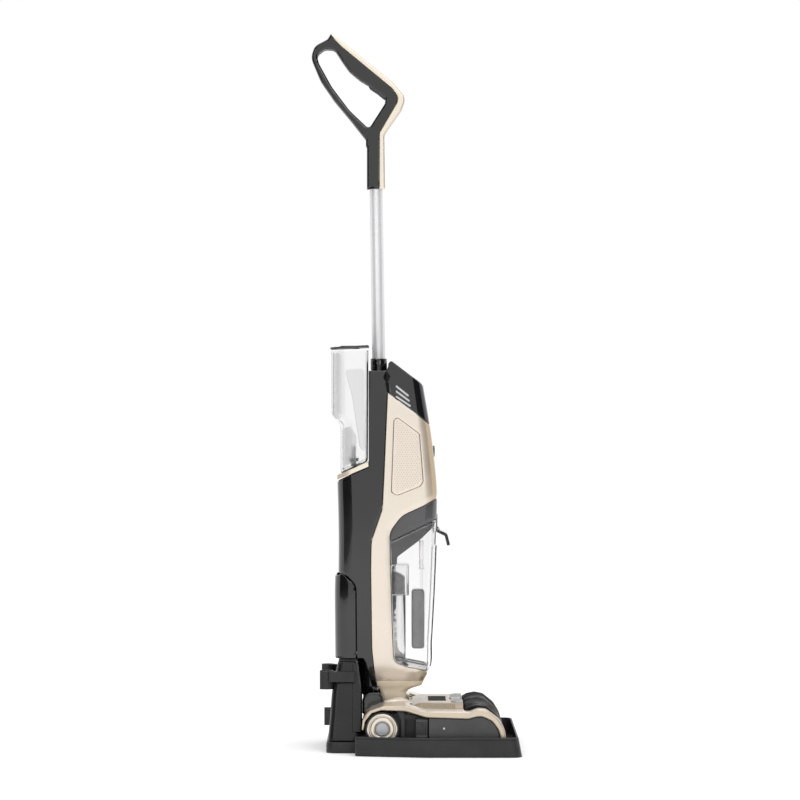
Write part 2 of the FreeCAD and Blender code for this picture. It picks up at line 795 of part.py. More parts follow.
def make_tube():
    stick = cylinder("tube_outer", "Sizes.tube_r", "Sizes.tube_length",
                     (size.tube_x, 0, size.tube_low))
    bore = cylinder("tube_inner", "Sizes.tube_bore", "Sizes.tube_length + 2",
                    (size.tube_x, 0, size.tube_low - 1))
    sub_part(cut("tube", stick, bore), "handle_tube")
    r, inner = size.collar_r, size.tube_r + 0.05
    turned(
        "tube_collar",
        [(0, inner), (0, r - 2, 1), (3, r, 2), (size.collar_height, r, 1.2), (size.collar_height, inner)],
        (size.tube_x, 0, size.collar_low),
        Vector(0, 0, 1),
    )


# ---------------------------------------------------------------- clean water tank
CLEAN = [
    (-51.0, 458.0, 2),
    (-50.2, 633.4, 1),
    (-109.3, 633.4, 1),
    (-108.6, 529.0, 6),
    (-94.4, 517.0, 4),
    (-94.2, 439.0, 2),
]


def tank_plan(name, depth, low, height):
    return prism(
        name,
        "XY",
        [
            (-110.5 + depth, -60.0 + depth, 25 - depth),
            (-50.0 - depth, -60.0 + depth, 5 - depth),
            (-50.0 - depth, 60.0 - depth, 5 - depth),
            (-110.5 + depth, 60.0 - depth, 25 - depth),
        ],
        height,
        low,
        symmetric=False,
    )


def make_clean_tank():
    wall = size.clear_wall
    outer = common("clean_block", tank_plan("clean_plan", 0.0, 430.0, 220.0),
                   prism("clean_side", "XZ", CLEAN, WIDE))
    opened = [(x, 640.0, *r) if z > 630.0 else (x, z, *r) for x, z, *r in CLEAN]
    room = extrusion("clean_room", inset("clean_room_edge", sketch("clean_open", "XZ", opened),
                                         "Sizes.clear_wall"), WIDE)
    inner = common("clean_inside", tank_plan("clean_plan_in", wall, 430.0, 220.0), room)
    outlet = cylinder("clean_outlet", 4.1, 40.0, (-74.0, 0, 425.0))
    sub_part(cut("clean_shell", outer, inner, outlet), "clean_tank")
    lid_side = [(-49.6, 634.0), (-49.6, 641.0, 3), (-54.0, 641.4, 3), (-111.0, 638.2, 1), (-111.0, 634.0)]
    lid = common("lid_block", tank_plan("lid_plan", -0.5, 630.0, 20.0),
                 prism("lid_side", "XZ", lid_side, WIDE))
    mouth = cylinder("lid_mouth", 16.3, 20.0, (-80.0, 0, 628.0))
    lip = cut("lid_lip", common("lip_block", tank_plan("lip_plan", wall + 0.4, 629.0, 6.0),
                                box("lip_limit", (-106, -70, 629), (-53, 70, 634.5))),
              tank_plan("lip_hole", wall + 2.4, 626.0, 12.0))
    sub_part(cut("lid", fuse("lid_body", lid, lip), mouth), "clean_tank_lid")
    turned("clean_tank_cap",
           [(-5, 0), (-5, 15), (0.6, 16.0), (7.6, 16.0, 1.5), (8.4, 14), (8.4, 0)],
           (-80.0, 0, 634.0), Vector(0, 0, 1))
    turned("tank_valve",
           [(-8, 0), (-8, 3), (0, 4.0), (20, 4.0), (20, 8, 0.6), (23, 8, 1), (23, 0)],
           (-74.0, 0, 436.0), Vector(0, 0, 1))
    seat_side = [(-115.0, 421.9), (-49.8, 449.4), (-50.2, 456.2, 1), (-54.0, 455.0, 1),
                 (-101.5, 434.4, 1), (-115.0, 428.5)]
    seat = common("seat_block", form, prism("seat_side", "XZ", seat_side, WIDE))
    seat_hole = cylinder("seat_hole", 6.0, 60.0, (-74.0, 0, 410.0))
    sub_part(cut("seat", seat, seat_hole), "tank_seat")


# ---------------------------------------------------------------- dirty water tank
LATCH_PIVOT = (60.8, 349.3)
LID_SEAM = [(-16.7, 331.0), (70.0, 372.4)]  # rim of the tank, back to front


def make_dirty_tank():
    gap = size.gap
    # the bay's edge moved out of the way of the walls round it: back, cup, then roof
    back_and_cup = [(x + gap, z + (gap if z < 145 else 0.0), *r) for x, z, *r in BAY[4:]]
    tank_side = [LID_SEAM[1], (-15.2, 331.7)] + back_and_cup
    outer = common("dirty_block", form, prism("dirty_side", "XZ", tank_side, WIDE))
    opened = [(70.0, 420.0), (-15.2, 420.0)] + back_and_cup[:-1] + [(90.0, 121.0)]
    room = extrusion("dirty_room", inset("dirty_room_edge", sketch("dirty_open", "XZ", opened),
                                         "Sizes.clear_wall"), WIDE)
    shell = cut("dirty_shell", outer, common("dirty_inside", tank_core, room))
    pipe_x = size.pipe_x
    pipe = common("standpipe", cylinder("pipe_outer", "Sizes.pipe_r", 125.0, (pipe_x, 0, 120.0)), outer)
    pipe_bore = cylinder("standpipe_bore", "Sizes.pipe_r - 1.6", 140.0, (pipe_x, 0, 115.0))
    ears = [box(f"latch_ear_{i}", (55.0, y, 346.2), (63.2, y + 3.2, 352.4))
            for i, y in enumerate((-31.8, 28.6))]
    latch_eye = cylinder("latch_eye", 1.55, 70.0, across(LATCH_PIVOT, 70.0), ALONG_Y)
    sub_part(cut("dirty_solid", fuse("dirty_body", shell, pipe, *ears), pipe_bore, latch_eye),
             "dirty_tank")

    roof = [(x, z - gap, *r) for x, z, *r in BAY[:3]] + [(-15.3, 345.0, 26), (-15.2, 332.3)]
    cap_side = roof + [(70.0, 373.0)]
    cap = common("cap_block", form, prism("cap_side", "XZ", cap_side, WIDE))
    cap_room = [(x, z - 2.4, *r) for x, z, *r in roof[:-1]] + [(-12.5, 320.0), (54.0, 340.0)]
    cap_inside = common("cap_inside", plug_core, prism("cap_room", "XZ", cap_room, WIDE))
    skirt_side = [(70.0, 374.0), (-12.3, 334.0), (-12.3, 293.0), (-4.0, 293.0), (-4.0, 309.0),
                  (28.4, 332.0), (70.0, 366.0)]
    skirt = common("skirt_block", plug, prism("skirt_side", "XZ", skirt_side, WIDE))
    skirt_inside = common("skirt_inside", plug_core,
                          prism("skirt_room", "XZ", [(53.0, 380.0), (-9.9, 340.0), (-9.9, 300.0),
                                                     (-5.0, 300.0), (30.0, 326.0), (53.0, 345.0)],
                                WIDE))
    sleeve_room = cylinder("sleeve_room", "Sizes.sleeve_r + 0.3", 102.6, (size.float_x, 0, 280.0))
    sub_part(cut("cap", fuse("cap_body", cap, skirt), cap_inside, skirt_inside, sleeve_room),
             "dirty_tank_lid")

    cage = box("cage", (-10.8, -24.0, 243.0), (14.2, 24.0, 292.8))
    cage_room = box("cage_room", (-9.2, -22.4, 245.2), (12.6, 22.4, 295.0))
    cage_port = cylinder("cage_port", 9.8, 10.0, (pipe_x, 0, 240.0))
    cage = cut("separator_cage", round_off("cage_soft", cage, 2.0, is_upright), cage_room, cage_port)

    bar = box("float_bar", (18.4, -17.0, 158.0), (39.6, 17.0, 251.8))
    stem = cylinder("float_stem", "Sizes.stem_r", 50.0, (size.float_x, 0, 250.0))
    sub_part(fuse("float_solid", round_off("float_soft", bar, 4.0, is_upright), stem), "float")
    sleeve = cylinder("guide_sleeve", "Sizes.sleeve_r", 98.6, (size.float_x, 0, 284.0))
    sleeve_bore = cylinder("guide_bore", "Sizes.stem_r + 0.05", 120.0, (size.float_x, 0, 280.0))
    guide = cut("float_guide", sleeve, sleeve_bore)
    # both hang from the lid: the cage over the standpipe and the sleeve for the float's stem
    sub_part(group("separator_set", cage, guide), "separator")

    latch_side = [(58.6, 375.0, 1), (58.6, 346.8, 1), (73.2, 339.2, 2), (75.4, 336.0, 2),
                  (77.2, 322.6, 1.5), (82.6, 323.4, 1.5), (80.4, 338.4, 4), (76.0, 343.8, 4),
                  (62.6, 350.6, 2), (61.2, 375.0, 1)]
    blade = prism("latch_blade", "XZ", latch_side, 56.0)
    barrel = cylinder("latch_barrel", 1.5, 63.0, across(LATCH_PIVOT, 63.0), ALONG_Y)
    sub_part(fuse("latch", blade, barrel), "tank_latch")


def is_upright(edge):
    """Whether an edge runs straight up."""
    ends = [v.Point for v in edge.Vertexes]
    return len(ends) == 2 and abs((ends[1] - ends[0]).normalize().z) > 0.99


# ---------------------------------------------------------------- foot
# Top edge of the gold cover from the side, from the rear of the wheel arch to the front.
COVER_TOP = [
    (-59.5, 40.0),
    (-58.6, 55.0, 12),
    (-50.0, 69.0, 14),
    (-28.0, 77.0, 20),
    (8.0, 78.8, 20),
    (22.0, 75.0, 20),
    (38.8, 70.4, 16),
    (108.0, 69.4, 14),
    (121.0, 74.2, 12),
    (134.0, 73.2, 14),
    (153.0, 59.0, 30),
    (163.5, 42.0, 30),
    (165.0, 26.0),
]
COVER_LOW = [
    (156.5, 26.0),
    (154.0, 40.5, 26),
    (143.5, 55.0, 14),
    (128.3, 62.3, 12),
    (119.6, 61.9, 8),
    (106.6, 58.4, 12),
    (41.2, 60.6, 16),
    (8.4, 69.6, 10),
    (-8.0, 69.9, 6),
]


def foot_plan(name, depth, low, height):
    """The foot from above, moved in by depth: full width at the roll, narrower at the wheels."""
    front_half = size.foot_width / 2 - depth
    rear_half = size.foot_rear_width / 2 - depth
    side = [(165.0 - depth, front_half, 14), (44.0, front_half, 60), (-2.0, rear_half, 60),
            (-59.5 + depth, rear_half, 8)]
    mirrored = [(x, -y, r) for x, y, r in side[::-1]]
    return prism(name, "XY", side + mirrored, height, low, symmetric=False)


def make_foot_cover():
    skin_side = COVER_TOP + COVER_LOW + [(-30.0, 70.8), (-44.0, 66.0), (-54.0, 54.0), (-56.6, 40.0)]
    full_side = COVER_TOP + [(165.0, 20.0), (-59.5, 20.0)]
    band = prism("cover_band", "XZ", skin_side, "Sizes.foot_width")
    under_skin = extrusion(
        "cover_room_side",
        inset("cover_room_edge", sketch("cover_full", "XZ", full_side), "Sizes.wall"),
        WIDE,
    )
    plan = foot_plan("cover_plan", 0.0, 10.0, 90.0)
    below = common("cover_room", under_skin, foot_plan("cover_plan_in", size.wall, 5.0, 100.0))
    half = size.window_half
    window = box("cover_window", (100.0, -half, 0), (200.0, half, 100))
    neck_slot = box("neck_slot", (-80.0, -45.0, 0), (15.0, 45.0, 100))
    deck_seat = prism("deck_seat", "XY", DECK, 60.0, 60.0, symmetric=False)
    wheel_room = cylinder("cover_wheel_room", "Sizes.wheel_r + 1.6", WIDE,
                          (size.wheel_x, -WIDE / 2, size.wheel_z), ALONG_Y)
    skin = common("cover_skin", plan, band)
    opened = cut("cover_opened", skin, below, window, neck_slot, deck_seat, wheel_room)
    cheeks = [prism(f"neck_cheek_{i}", "XZ", CHEEK, 12.0, y) for i, y in enumerate((-52.0, 52.0))]
    sub_part(fuse("foot_cover_solid", opened, *cheeks), "foot_cover")


# raised sides of the slot that the neck swings in
CHEEK = [(-27.0, 73.0), (-27.0, 77.0, 2), (-6.0, 83.5, 8), (9.0, 84.0, 5), (15.4, 79.0, 3), (15.4, 73.0)]


DECK = [(16.0, -98.0, 10), (99.5, -98.0, 6), (99.5, 98.0, 6), (16.0, 98.0, 10)]


def make_deck_panel():
    """The raised middle of the foot, with rows of vent slots down its sloping sides."""
    foot = sketch("deck_foot", "XY", [(16.5, -97.5, 10), (99.0, -97.5, 6), (99.0, 97.5, 6),
                                      (16.5, 97.5, 10)], 64.0)
    rise = sketch("deck_rise", "XY", [(16.5, -96.0, 10), (99.0, -96.0, 6), (99.0, 96.0, 6),
                                      (16.5, 96.0, 10)], 67.0)
    crown = sketch("deck_crown", "XY", [(22.0, -74.0, 12), (97.0, -74.0, 8), (97.0, 74.0, 8),
                                        (22.0, 74.0, 12)], 77.0)
    hill = doc.addObject("Part::Loft", "deck_hill")
    hill.Sections = [foot, rise, crown]
    hill.Solid, hill.Ruled = True, True
    hollow = box("deck_room", (20.0, -70.0, 60.0), (95.0, 70.0, 74.5))
    slots = [
        box(f"vent_slot_{side}_{i}", (34.0 + 3.4 * i, y, 65.6), (35.6 + 3.4 * i, y + 16.0, 90.0))
        for side, y in (("l", 78.0), ("r", -94.0))
        for i in range(14)
    ]
    latch_room = box("latch_room", (80.0, -15.6, 72.0), (99.5, 15.6, 90.0))
    sub_part(cut("deck", hill, hollow, group("vent_slots", *slots), latch_room), "deck_panel")
    catch = box("catch", (80.6, -15.0, 74.9), (96.5, 15.0, 78.2))
    sub_part(round_off("catch_soft", catch, 1.4, lambda e: e.BoundBox.ZMin > 78.0), "cover_latch")


def make_brush_cover():
    half = size.window_half - 0.8
    top = [(100.8, 62.0), (100.8, 70.5, 3), (108.0, 75.0, 8), (121.0, 77.6, 12), (135.0, 75.0, 12),
           (152.0, 61.0, 24), (163.0, 42.0, 30), (165.0, 26.0)]
    outer = prism("window_outer", "XZ", top + [(165.0, 20.0), (100.8, 20.0)], 2 * half)
    inner = inset("window_room_edge", sketch("window_open", "XZ", top + [(165.0, 0.0), (100.8, 0.0)]),
                  "2.2")
    room = extrusion("window_room", inner, 2 * half - 4.4)
    bottom = box("window_bottom", (90.0, -WIDE / 2, 0.0), (200.0, WIDE / 2, 26.0))
    back = box("window_back", (90.0, -WIDE / 2, 0.0), (104.0, WIDE / 2, 62.0))
    brush_room = cylinder("window_brush_room", "Sizes.brush_r + 1.5", WIDE,
                          (size.brush_x, -WIDE / 2, size.brush_z), ALONG_Y)
    sub_part(cut("window", outer, room, bottom, back, brush_room), "brush_cover")


def make_foot_chassis():
    side = [(-32.0, 24.5, 4), (-32.0, 64.0, 6), (14.0, 62.0, 4), (40.0, 57.5, 6), (98.0, 57.5, 4),
            (98.0, 24.5, 3)]
    outer = prism("chassis_outer", "XZ", side, 228.0)
    room = extrusion("chassis_room", inset("chassis_room_edge", sketch("chassis_edge", "XZ", side),
                                           "Sizes.wall"), "228 - 2 * Sizes.wall")
    neck_slot = box("chassis_neck_slot", (-60.0, -33.6, 0), (14.0, 33.6, 100))
    behind = box("chassis_behind", (-60.0, -45.0, 20.0), (-26.0, 45.0, 100.0))
    arm = [(-26.0, 24.5), (-26.0, 49.0, 8), (-14.0, 61.0, 11.8), (-2.0, 49.0, 8), (13.0, 40.0),
           (13.0, 24.5)]
    arms = [prism(f"pivot_arm_{i}", "XZ", arm, 8.6, y) for i, y in enumerate((-38.1, 38.1))]
    stub_hole = cylinder("stub_hole", "Sizes.stub_r + 0.05", 110.0,
                         across((size.pivot_x, size.pivot_z), 110.0), ALONG_Y)
    over_arms = box("chassis_over_arms", (-60.0, -44.0, 20.0), (14.0, 44.0, 100.0))
    shell = cut("chassis_shell", outer, room, over_arms)
    web = box("chassis_web", (13.0, -44.0, 24.5), (16.0, 44.0, 60.0))
    walls = [box(f"arm_wall_{i}", (-32.0, y, 24.5), (14.0, y + 2.4, 64.0))
             for i, y in enumerate((-46.4, 44.0))]
    floor = box("arm_floor", (-26.0, -46.0, 24.5), (14.0, 46.0, 26.5))
    recess = [box(f"side_recess_{i}", (3.0, y, 27.0), (44.0, y + 10.0, 55.0))
              for i, y in enumerate((-114.0, 104.0))]
    recess_wall = [box(f"recess_wall_{i}", (0.5, y, 25.0), (46.0, y + 2.4, 57.0))
                   for i, y in enumerate((-104.0, 101.6))]
    body_shape = fuse("chassis_body", shell, web, *walls, floor, *recess_wall)
    bays = [box(f"wheel_bay_{i}", (-60.0, y, 0.0), (0.5, y + 22.0, 100.0))
            for i, y in enumerate((-130.4, 108.4))]
    bay_walls = [box(f"bay_wall_{i}", (-32.0, y, 24.5), (0.5, y + 2.4, 62.0))
                 for i, y in enumerate((-108.4, 106.0))]
    bay_ends = [box(f"bay_end_{i}", (0.5, y, 24.5), (2.9, y + 8.0, 60.5))
                for i, y in enumerate((-114.0, 106.0))]
    bosses = [cylinder(f"axle_boss_{i}", 8.0, 16.0, (size.wheel_x + 4.0, y, size.wheel_z), ALONG_Y)
              for i, y in enumerate((-108.4, 92.4))]
    opened = fuse(
        "chassis_walled",
        cut("chassis_open", body_shape, neck_slot, behind, *bays, *recess),
        *bay_walls,
        *bay_ends,
        *bosses,
    )
    joined = fuse("chassis_joined", opened, *arms)
    mouth = box("chassis_mouth", (96.0, -100.0, 30.0), (104.0, 100.0, 50.0))
    axle_holes = [cylinder(f"axle_hole_{i}", "Sizes.axle_r + 0.02", 24.0,
                           (size.wheel_x, y, size.wheel_z), ALONG_Y)
                  for i, y in enumerate((-112.0, 88.0))]
    duct = cylinder("duct_hole", 13.0, 30.0, (size.pivot_x + 2, 0, 10.0))
    pulley_hole = cylinder("pulley_hole", 3.5, 20.0,
                           (size.brush_motor_x, 100.0, size.brush_motor_z), ALONG_Y)
    sub_part(cut("chassis", joined, stub_hole, mouth, *axle_holes, duct, pulley_hole),
             "foot_chassis")


def make_side_panels():
    """End plates that carry the brush roll, and the ribbed latches behind them."""
    side = [(45.0, 18.0, 3), (45.0, 59.6, 2), (106.6, 57.6, 10), (119.6, 61.0, 8), (128.3, 61.4, 12),
            (143.5, 54.2, 14), (153.2, 40.5, 26), (155.6, 18.0, 3)]
    hub = cylinder("roll_bearing_room", 5.05, WIDE, (size.brush_x, -WIDE / 2, size.brush_z), ALONG_Y)
    outer = prism("end_plates", "XZ", side, 285.0)
    middle = prism("between_plates", "XZ", [(40, 0), (40, 80), (170, 80), (170, 0)], 271.0)
    dots = [cylinder(f"plate_dot_{i}", 1.6, 6.0, (70.0, y, 43.5), ALONG_Y)
            for i, y in enumerate((-144.0, 138.0))]
    sub_part(cut("plates", outer, middle, hub, *dots), "side_panels")
    latches = []
    for i, y in enumerate((-138.0, 114.3)):
        base = box(f"latch_base_{i}", (22.0, y, 28.0), (43.5, y + 23.7, 55.5))
        face = y - 1.0 if i == 0 else y + 21.7
        grooves = [
            box(f"latch_groove_{i}_{k}", (24.0 + 4.8 * k, face, 31.0),
                (26.4 + 4.8 * k, face + 3.0, 53.0))
            for k in range(4)
        ]
        latches.append(cut(f"side_latch_{i}", base, *grooves))
    sub_part(group("latches", *latches), "side_latches")


def make_brush():
    half = size.brush_length / 2
    r, core_r = size.brush_r, size.core_r
    ends = [(-133.0, 0), (-133.0, 5.0), (-half - 4, 5.0), (-half - 4, 12.0, 1), (-half, core_r)]
    pulley = [(half, core_r), (half + 1.0, size.big_pulley_r + 2), (half + 1.2, size.big_pulley_r),
              (half + 8.0, size.big_pulley_r), (half + 8.2, size.big_pulley_r + 2),
              (half + 9.4, size.big_pulley_r + 2), (half + 9.4, 5.0), (133.0, 5.0), (133.0, 0)]
    turned("brush_core", ends + pulley, (size.brush_x, 0, size.brush_z))
    turned("brush_fibre",
           [(-half + 4, core_r), (-half + 4, r, 4), (half - 4, r, 4), (half - 4, core_r)],
           (size.brush_x, 0, size.brush_z))
    # belt round the two pulleys: two straight runs and two arcs
    big = Vector(size.brush_x, size.brush_z, 0)
    small = Vector(size.brush_motor_x, size.brush_motor_z, 0)
    sub_part(belt_loop(big, size.big_pulley_r + 0.3, small, size.small_pulley_r + 0.3, 1.4),
             "drive_belt")
    sp = size.small_pulley_r
    y = size.belt_y
    turned("motor_pulley",
           [(-14, 0), (-14, 2.4), (-5.4, 2.4), (-5.4, sp + 2), (-4.2, sp + 2), (-4.0, sp), (4.0, sp),
            (4.2, sp + 2), (5.4, sp + 2), (5.4, 0)],
           (size.brush_motor_x, y, size.brush_motor_z))
    can = cylinder("brush_motor_can", "Sizes.brush_motor_r", 70.0,
                   (size.brush_motor_x, 34.0, size.brush_motor_z), ALONG_Y)
    nose = cylinder("brush_motor_nose", 5.0, 4.0,
                    (size.brush_motor_x, 104.0, size.brush_motor_z), ALONG_Y)
    eye = cylinder("brush_motor_eye", 2.45, 20.0,
                   (size.brush_motor_x, 95.0, size.brush_motor_z), ALONG_Y)
    sub_part(cut("brush_motor_solid", fuse("brush_motor_body", can, nose), eye), "brush_motor")


def belt_loop(big, big_r, small, small_r, thick):
    """A flat belt: the outline round both pulleys less the same outline without its thickness."""

    def outline(extra):
        between = small - big
        lean = math.acos((big_r - small_r) / between.Length)
        base = math.atan2(between.y, between.x)
        edges, ends = [], []
        for centre, radius in ((big, big_r + extra), (small, small_r + extra)):
            ends.append([
                centre + Vector(math.cos(base + side * lean), math.sin(base + side * lean), 0) * radius
                for side in (1, -1)
            ])
        far = big - between.normalize() * (big_r + extra)
        near = small + between.normalize() * (small_r + extra)
        edges.append(Part.Arc(ends[0][0], far, ends[0][1]))
        edges.append(Part.LineSegment(ends[0][1], ends[1][1]))
        edges.append(Part.Arc(ends[1][1], near, ends[1][0]))
        edges.append(Part.LineSegment(ends[1][0], ends[0][0]))
        return edges

    drawn = doc.addObject("Sketcher::SketchObject", "belt_outline")
    drawn.Placement = FreeCAD.Placement(Vector(0, size.belt_y, 0), PLANES["XZ"])
    drawn.addGeometry(outline(0.0), False)
    drawn.addGeometry(outline(thick), False)
    return extrusion("belt", drawn, "Sizes.belt_width")


def make_nozzle():
    funnel = [(100.0, -104.0, 2), (100.0, 104.0, 2), (84.0, 104.0, 6), (2.0, 17.0, 4), (-28.0, 17.0, 8),
              (-28.0, -17.0, 8), (2.0, -17.0, 4), (84.0, -104.0, 6)]
    outer = prism("nozzle_outer", "XY", funnel, 7.0, 17.2, symmetric=False)
    inner = extrusion("nozzle_room", inset("nozzle_room_edge",
                                           sketch("nozzle_edge", "XY", funnel, 18.8), "1.6"),
                      3.8, symmetric=False)
    slot = box("nozzle_slot", (90.0, -100.0, 18.8), (105.0, 100.0, 22.6))
    riser = cylinder("nozzle_riser", 12.0, 20.0, (size.pivot_x + 2, 0, 19.0))
    riser = common("nozzle_collar", riser, box("riser_limit", (-40, -20, 19.0), (20, 20, 28.0)))
    sub_part(cut("nozzle", fuse("nozzle_body", outer, riser), inner, slot,
                 cylinder("nozzle_throat", 10.0, 12.0, (size.pivot_x + 2, 0, 19.0))),
             "suction_nozzle")
    strip = body("squeegee")
    profile = [(100.3, 16.2), (100.3, 24.0), (103.0, 24.0), (103.0, 19.0), (101.6, 16.2)]
    pad(strip, body_sketch(strip, "XZ", [profile]), "200")
    rail = box("spray_rail", (98.4, -108.0, 52.0), (101.0, 108.0, 57.0))
    jets = [cylinder(f"jet_{i}", 1.6, 3.0, (101.0, -80.0 + 40.0 * i, 54.5), Vector(1, 0, 0))
            for i in range(5)]
    sub_part(fuse("spray", rail, *jets), "spray_bar")


def make_wheels():
    w, tyre, hub = size.wheel_width, size.wheel_r, size.hub_r
    bore = size.axle_r + 0.05
    for side, sign in (("left", 1), ("right", -1)):
        face = size.wheel_face
        hub_profile = [(-w, bore), (-w, hub), (-1.5, hub), (0, hub - 1.5), (0, 20.0, 0.6),
                       (-2.2, 19.0, 0.6), (-2.2, 16.6, 0.6), (-0.8, 15.6, 0.6), (-2.0, 10.4, 0.6),
                       (-3.4, 10.2), (-3.4, bore)]
        tyre_profile = [(-w + 0.5, hub + 0.02), (-w + 0.5, tyre, 1.2), (-1.6, tyre, 1.2),
                        (-1.6, hub + 0.02)]
        axis = Vector(0, sign, 0)
        centre = (size.wheel_x, sign * face, size.wheel_z)
        turned(f"wheel_hub_{side}", hub_profile, centre, axis)
        turned(f"tyre_{side}", tyre_profile, centre, axis)
    axles = []
    for i, sign in enumerate((1, -1)):
        face = sign * size.wheel_face
        axis = Vector(0, -sign, 0)
        head = cylinder(f"axle_head_{i}", "Sizes.axle_head_r", 2.4,
                        (size.wheel_x, face - sign * 0.6, size.wheel_z), axis)
        pin = cylinder(f"axle_pin_{i}", "Sizes.axle_r", 38.0,
                       (size.wheel_x, face - sign * 1.0, size.wheel_z), axis)
        axles.append(fuse(f"axle_{i}", head, pin))
    sub_part(group("axles", *axles), "wheel_axles")


# ---------------------------------------------------------------- dock
def tray_plan(inward):
    front, half = size.tray_front - inward, size.tray_half - inward
    mid = size.tray_mid_half - inward
    return [(front, -half, 14), (front, half, 14), (37.0, half, 20), (-70.0 + inward, mid, 4),
            (-70.0 + inward, -mid, 4), (37.0, -half, 20)]


def make_dock():
    height = size.tray_height
    wall = prism("tray_block", "XY", tray_plan(0.0), height, 0.0, symmetric=False)
    room = prism("tray_room", "XY", tray_plan(3.0), height, size.tray_wall, symmetric=False)
    shoe_half = size.tower_half
    shoe = prism("shoe", "XY", [(size.tray_rear, -shoe_half, 12), (-66.0, -shoe_half), (-66.0, shoe_half),
                                (size.tray_rear, shoe_half, 12)], "Sizes.shoe_height", 0.0,
                 symmetric=False)
    seats = []
    seat_top = size.wheel_z - size.wheel_r - 0.2
    for i, y in enumerate((-129.0, 112.0)):
        seats.append(box(f"wheel_pad_{i}", (-46.0, y, 1.0), (-8.0, y + 17.0, seat_top)))
    rests = [box(f"front_rest_{i}", (120.0, y, 1.0), (150.0, y + 6.0, 17.7))
             for i, y in enumerate((-143.0, 137.0))]
    ribs = [box(f"drain_rib_{i}", (40.0, -100.0 + 25.0 * i, 1.0), (172.0, -98.0 + 25.0 * i, 7.0))
            for i in range(9)]
    hollow_shoe = box("shoe_room", (-112.0, -94.0, 3.0), (-70.2, 94.0, 14.0))
    tray = fuse("tray_body", cut("tray_open", wall, room), cut("shoe_open", shoe, hollow_shoe),
                *seats, *rests, *ribs)
    pads = [cylinder(f"foot_pad_{i}", 10.0, 1.5, (x, y, 0.0))
            for i, (x, y) in enumerate(((165, 130), (165, -130), (-95, 75), (-95, -75)))]
    recesses = [cylinder(f"pad_recess_{i}", 10.1, 1.6, (x, y, 0.0))
                for i, (x, y) in enumerate(((165, 130), (165, -130), (-95, 75), (-95, -75)))]
    sub_part(group("pads", *pads), "dock_pads")
    sub_part(cut("tray", tray, *recesses), "dock_tray")

    def tower_form(name, depth, low):
        sections = [(low, -113.5, -66.5, 88.0), (100.0, -106.5, -68.0, 72.0), (141.0 - depth, -98.0, -69.0, 60.0)]
        made = doc.addObject("Part::Loft", name)
        made.Sections = [
            sketch(f"{name}_{i}", "XY",
                   [(a + depth, -h + depth, 7), (b - depth, -h + depth, 5), (b - depth, h - depth, 5),
                    (a + depth, h - depth, 7)], z)
            for i, (z, a, b, h) in enumerate(sections)
        ]
        made.Solid, made.Ruled = True, True
        return made

    tower = tower_form("tower_outer", 0.0, size.shoe_height)
    tray_block = prism("tray_clear", "XY", tray_plan(0.0), height, 0.0, symmetric=False)
    inner = tower_form("tower_inner", 2.4, size.shoe_height)
    sub_part(cut("tower", tower, inner, tray_block), "dock_tower")
    block = box("contact_slab", (-94.0, -26.0, 141.0), (-74.0, 26.0, 143.4))
    pin_holes = [cylinder(f"contact_hole_{i}", 2.55, 8.0, (-85.0, y, 138.0))
                 for i, y in enumerate((-11.0, 11.0))]
    sub_part(cut("contact_block_solid", block, *pin_holes), "contact_block")
    pins = [cylinder(f"contact_{i}", 2.5, 4.2, (-85.0, y, 141.0))
            for i, y in enumerate((-11.0, 11.0))]
    sub_part(group("contacts", *pins), "contact_pins")
    clips = []
    for i, sign in enumerate((1, -1)):
        ring = cylinder(f"clip_ring_{i}", "Sizes.clip_r", "Sizes.clip_height",
                        (size.clip_x, sign * size.clip_y, size.clip_low))
        strap = box(f"clip_strap_{i}", (-112.0, min(sign * 62.0, sign * 76.0), size.clip_low + 12),
                    (-72.0, max(sign * 62.0, sign * 76.0), size.clip_low + 28))
        bore = cylinder(f"clip_bore_{i}", "Sizes.clip_bore", 60.0,
                        (size.clip_x, sign * size.clip_y, 80.0))
        mouth = box(f"clip_mouth_{i}", (-140.0, sign * size.clip_y - 6.0, 80.0),
                    (size.clip_x, sign * size.clip_y + 6.0, 140.0))
        clips.append(cut(f"clip_{i}", fuse(f"clip_body_{i}", ring, strap), bore, mouth, tower))
    sub_part(group("clips", *clips), "accessory_clips")
    boss = box("inlet_boss", (-121.0, -8.0, 35.0), (-108.0, 8.0, 62.5))
    socket = cylinder("inlet_socket", 2.8, 16.0, (-117.0, 0, 34.0))
    pole = cylinder("inlet_pole", 0.9, 12.0, (-117.0, 0, 40.0))
    sub_part(fuse("inlet", cut("inlet_shell", boss, socket, tower), pole), "power_inlet")


# ---------------------------------------------------------------- build, check and write
for step in (
    make_front_housing,
    make_side_grilles,
    make_rear_housing,
    make_battery,
    make_top_cover,
    make_controls,
    make_inside,
    make_neck,
    make_handle,
    make_tube,
    make_clean_tank,
    make_dirty_tank,
    make_foot_cover,
    make_deck_panel,
    make_brush_cover,
    make_foot_chassis,
    make_side_panels,
    make_brush,
    make_nozzle,
    make_wheels,
    make_dock,
):
    step()
doc.recompute()

faulty = [o.Name for o in doc.Objects if "Invalid" in o.State or "Error" in o.State]
if faulty:
    raise RuntimeError(f"objects that failed to build: {faulty}")
os.makedirs("parts", exist_ok=True)
for old in os.listdir("parts"):
    os.remove(os.path.join("parts", old))
for made in sub_parts:
    shape = made.Shape
    if shape.isNull() or not shape.isValid() or not shape.Solids:
        raise RuntimeError(f"{made.Label} has no valid solid")
    shape.exportStep(f"parts/{made.Label}.step")
    print(f"{made.Label}: {len(shape.Solids)} solids, {shape.Volume / 1000:.1f} cm3")
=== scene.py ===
import json
import math

import bmesh
import bpy
import numpy as np
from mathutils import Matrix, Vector
from mathutils.geometry import delaunay_2d_cdt


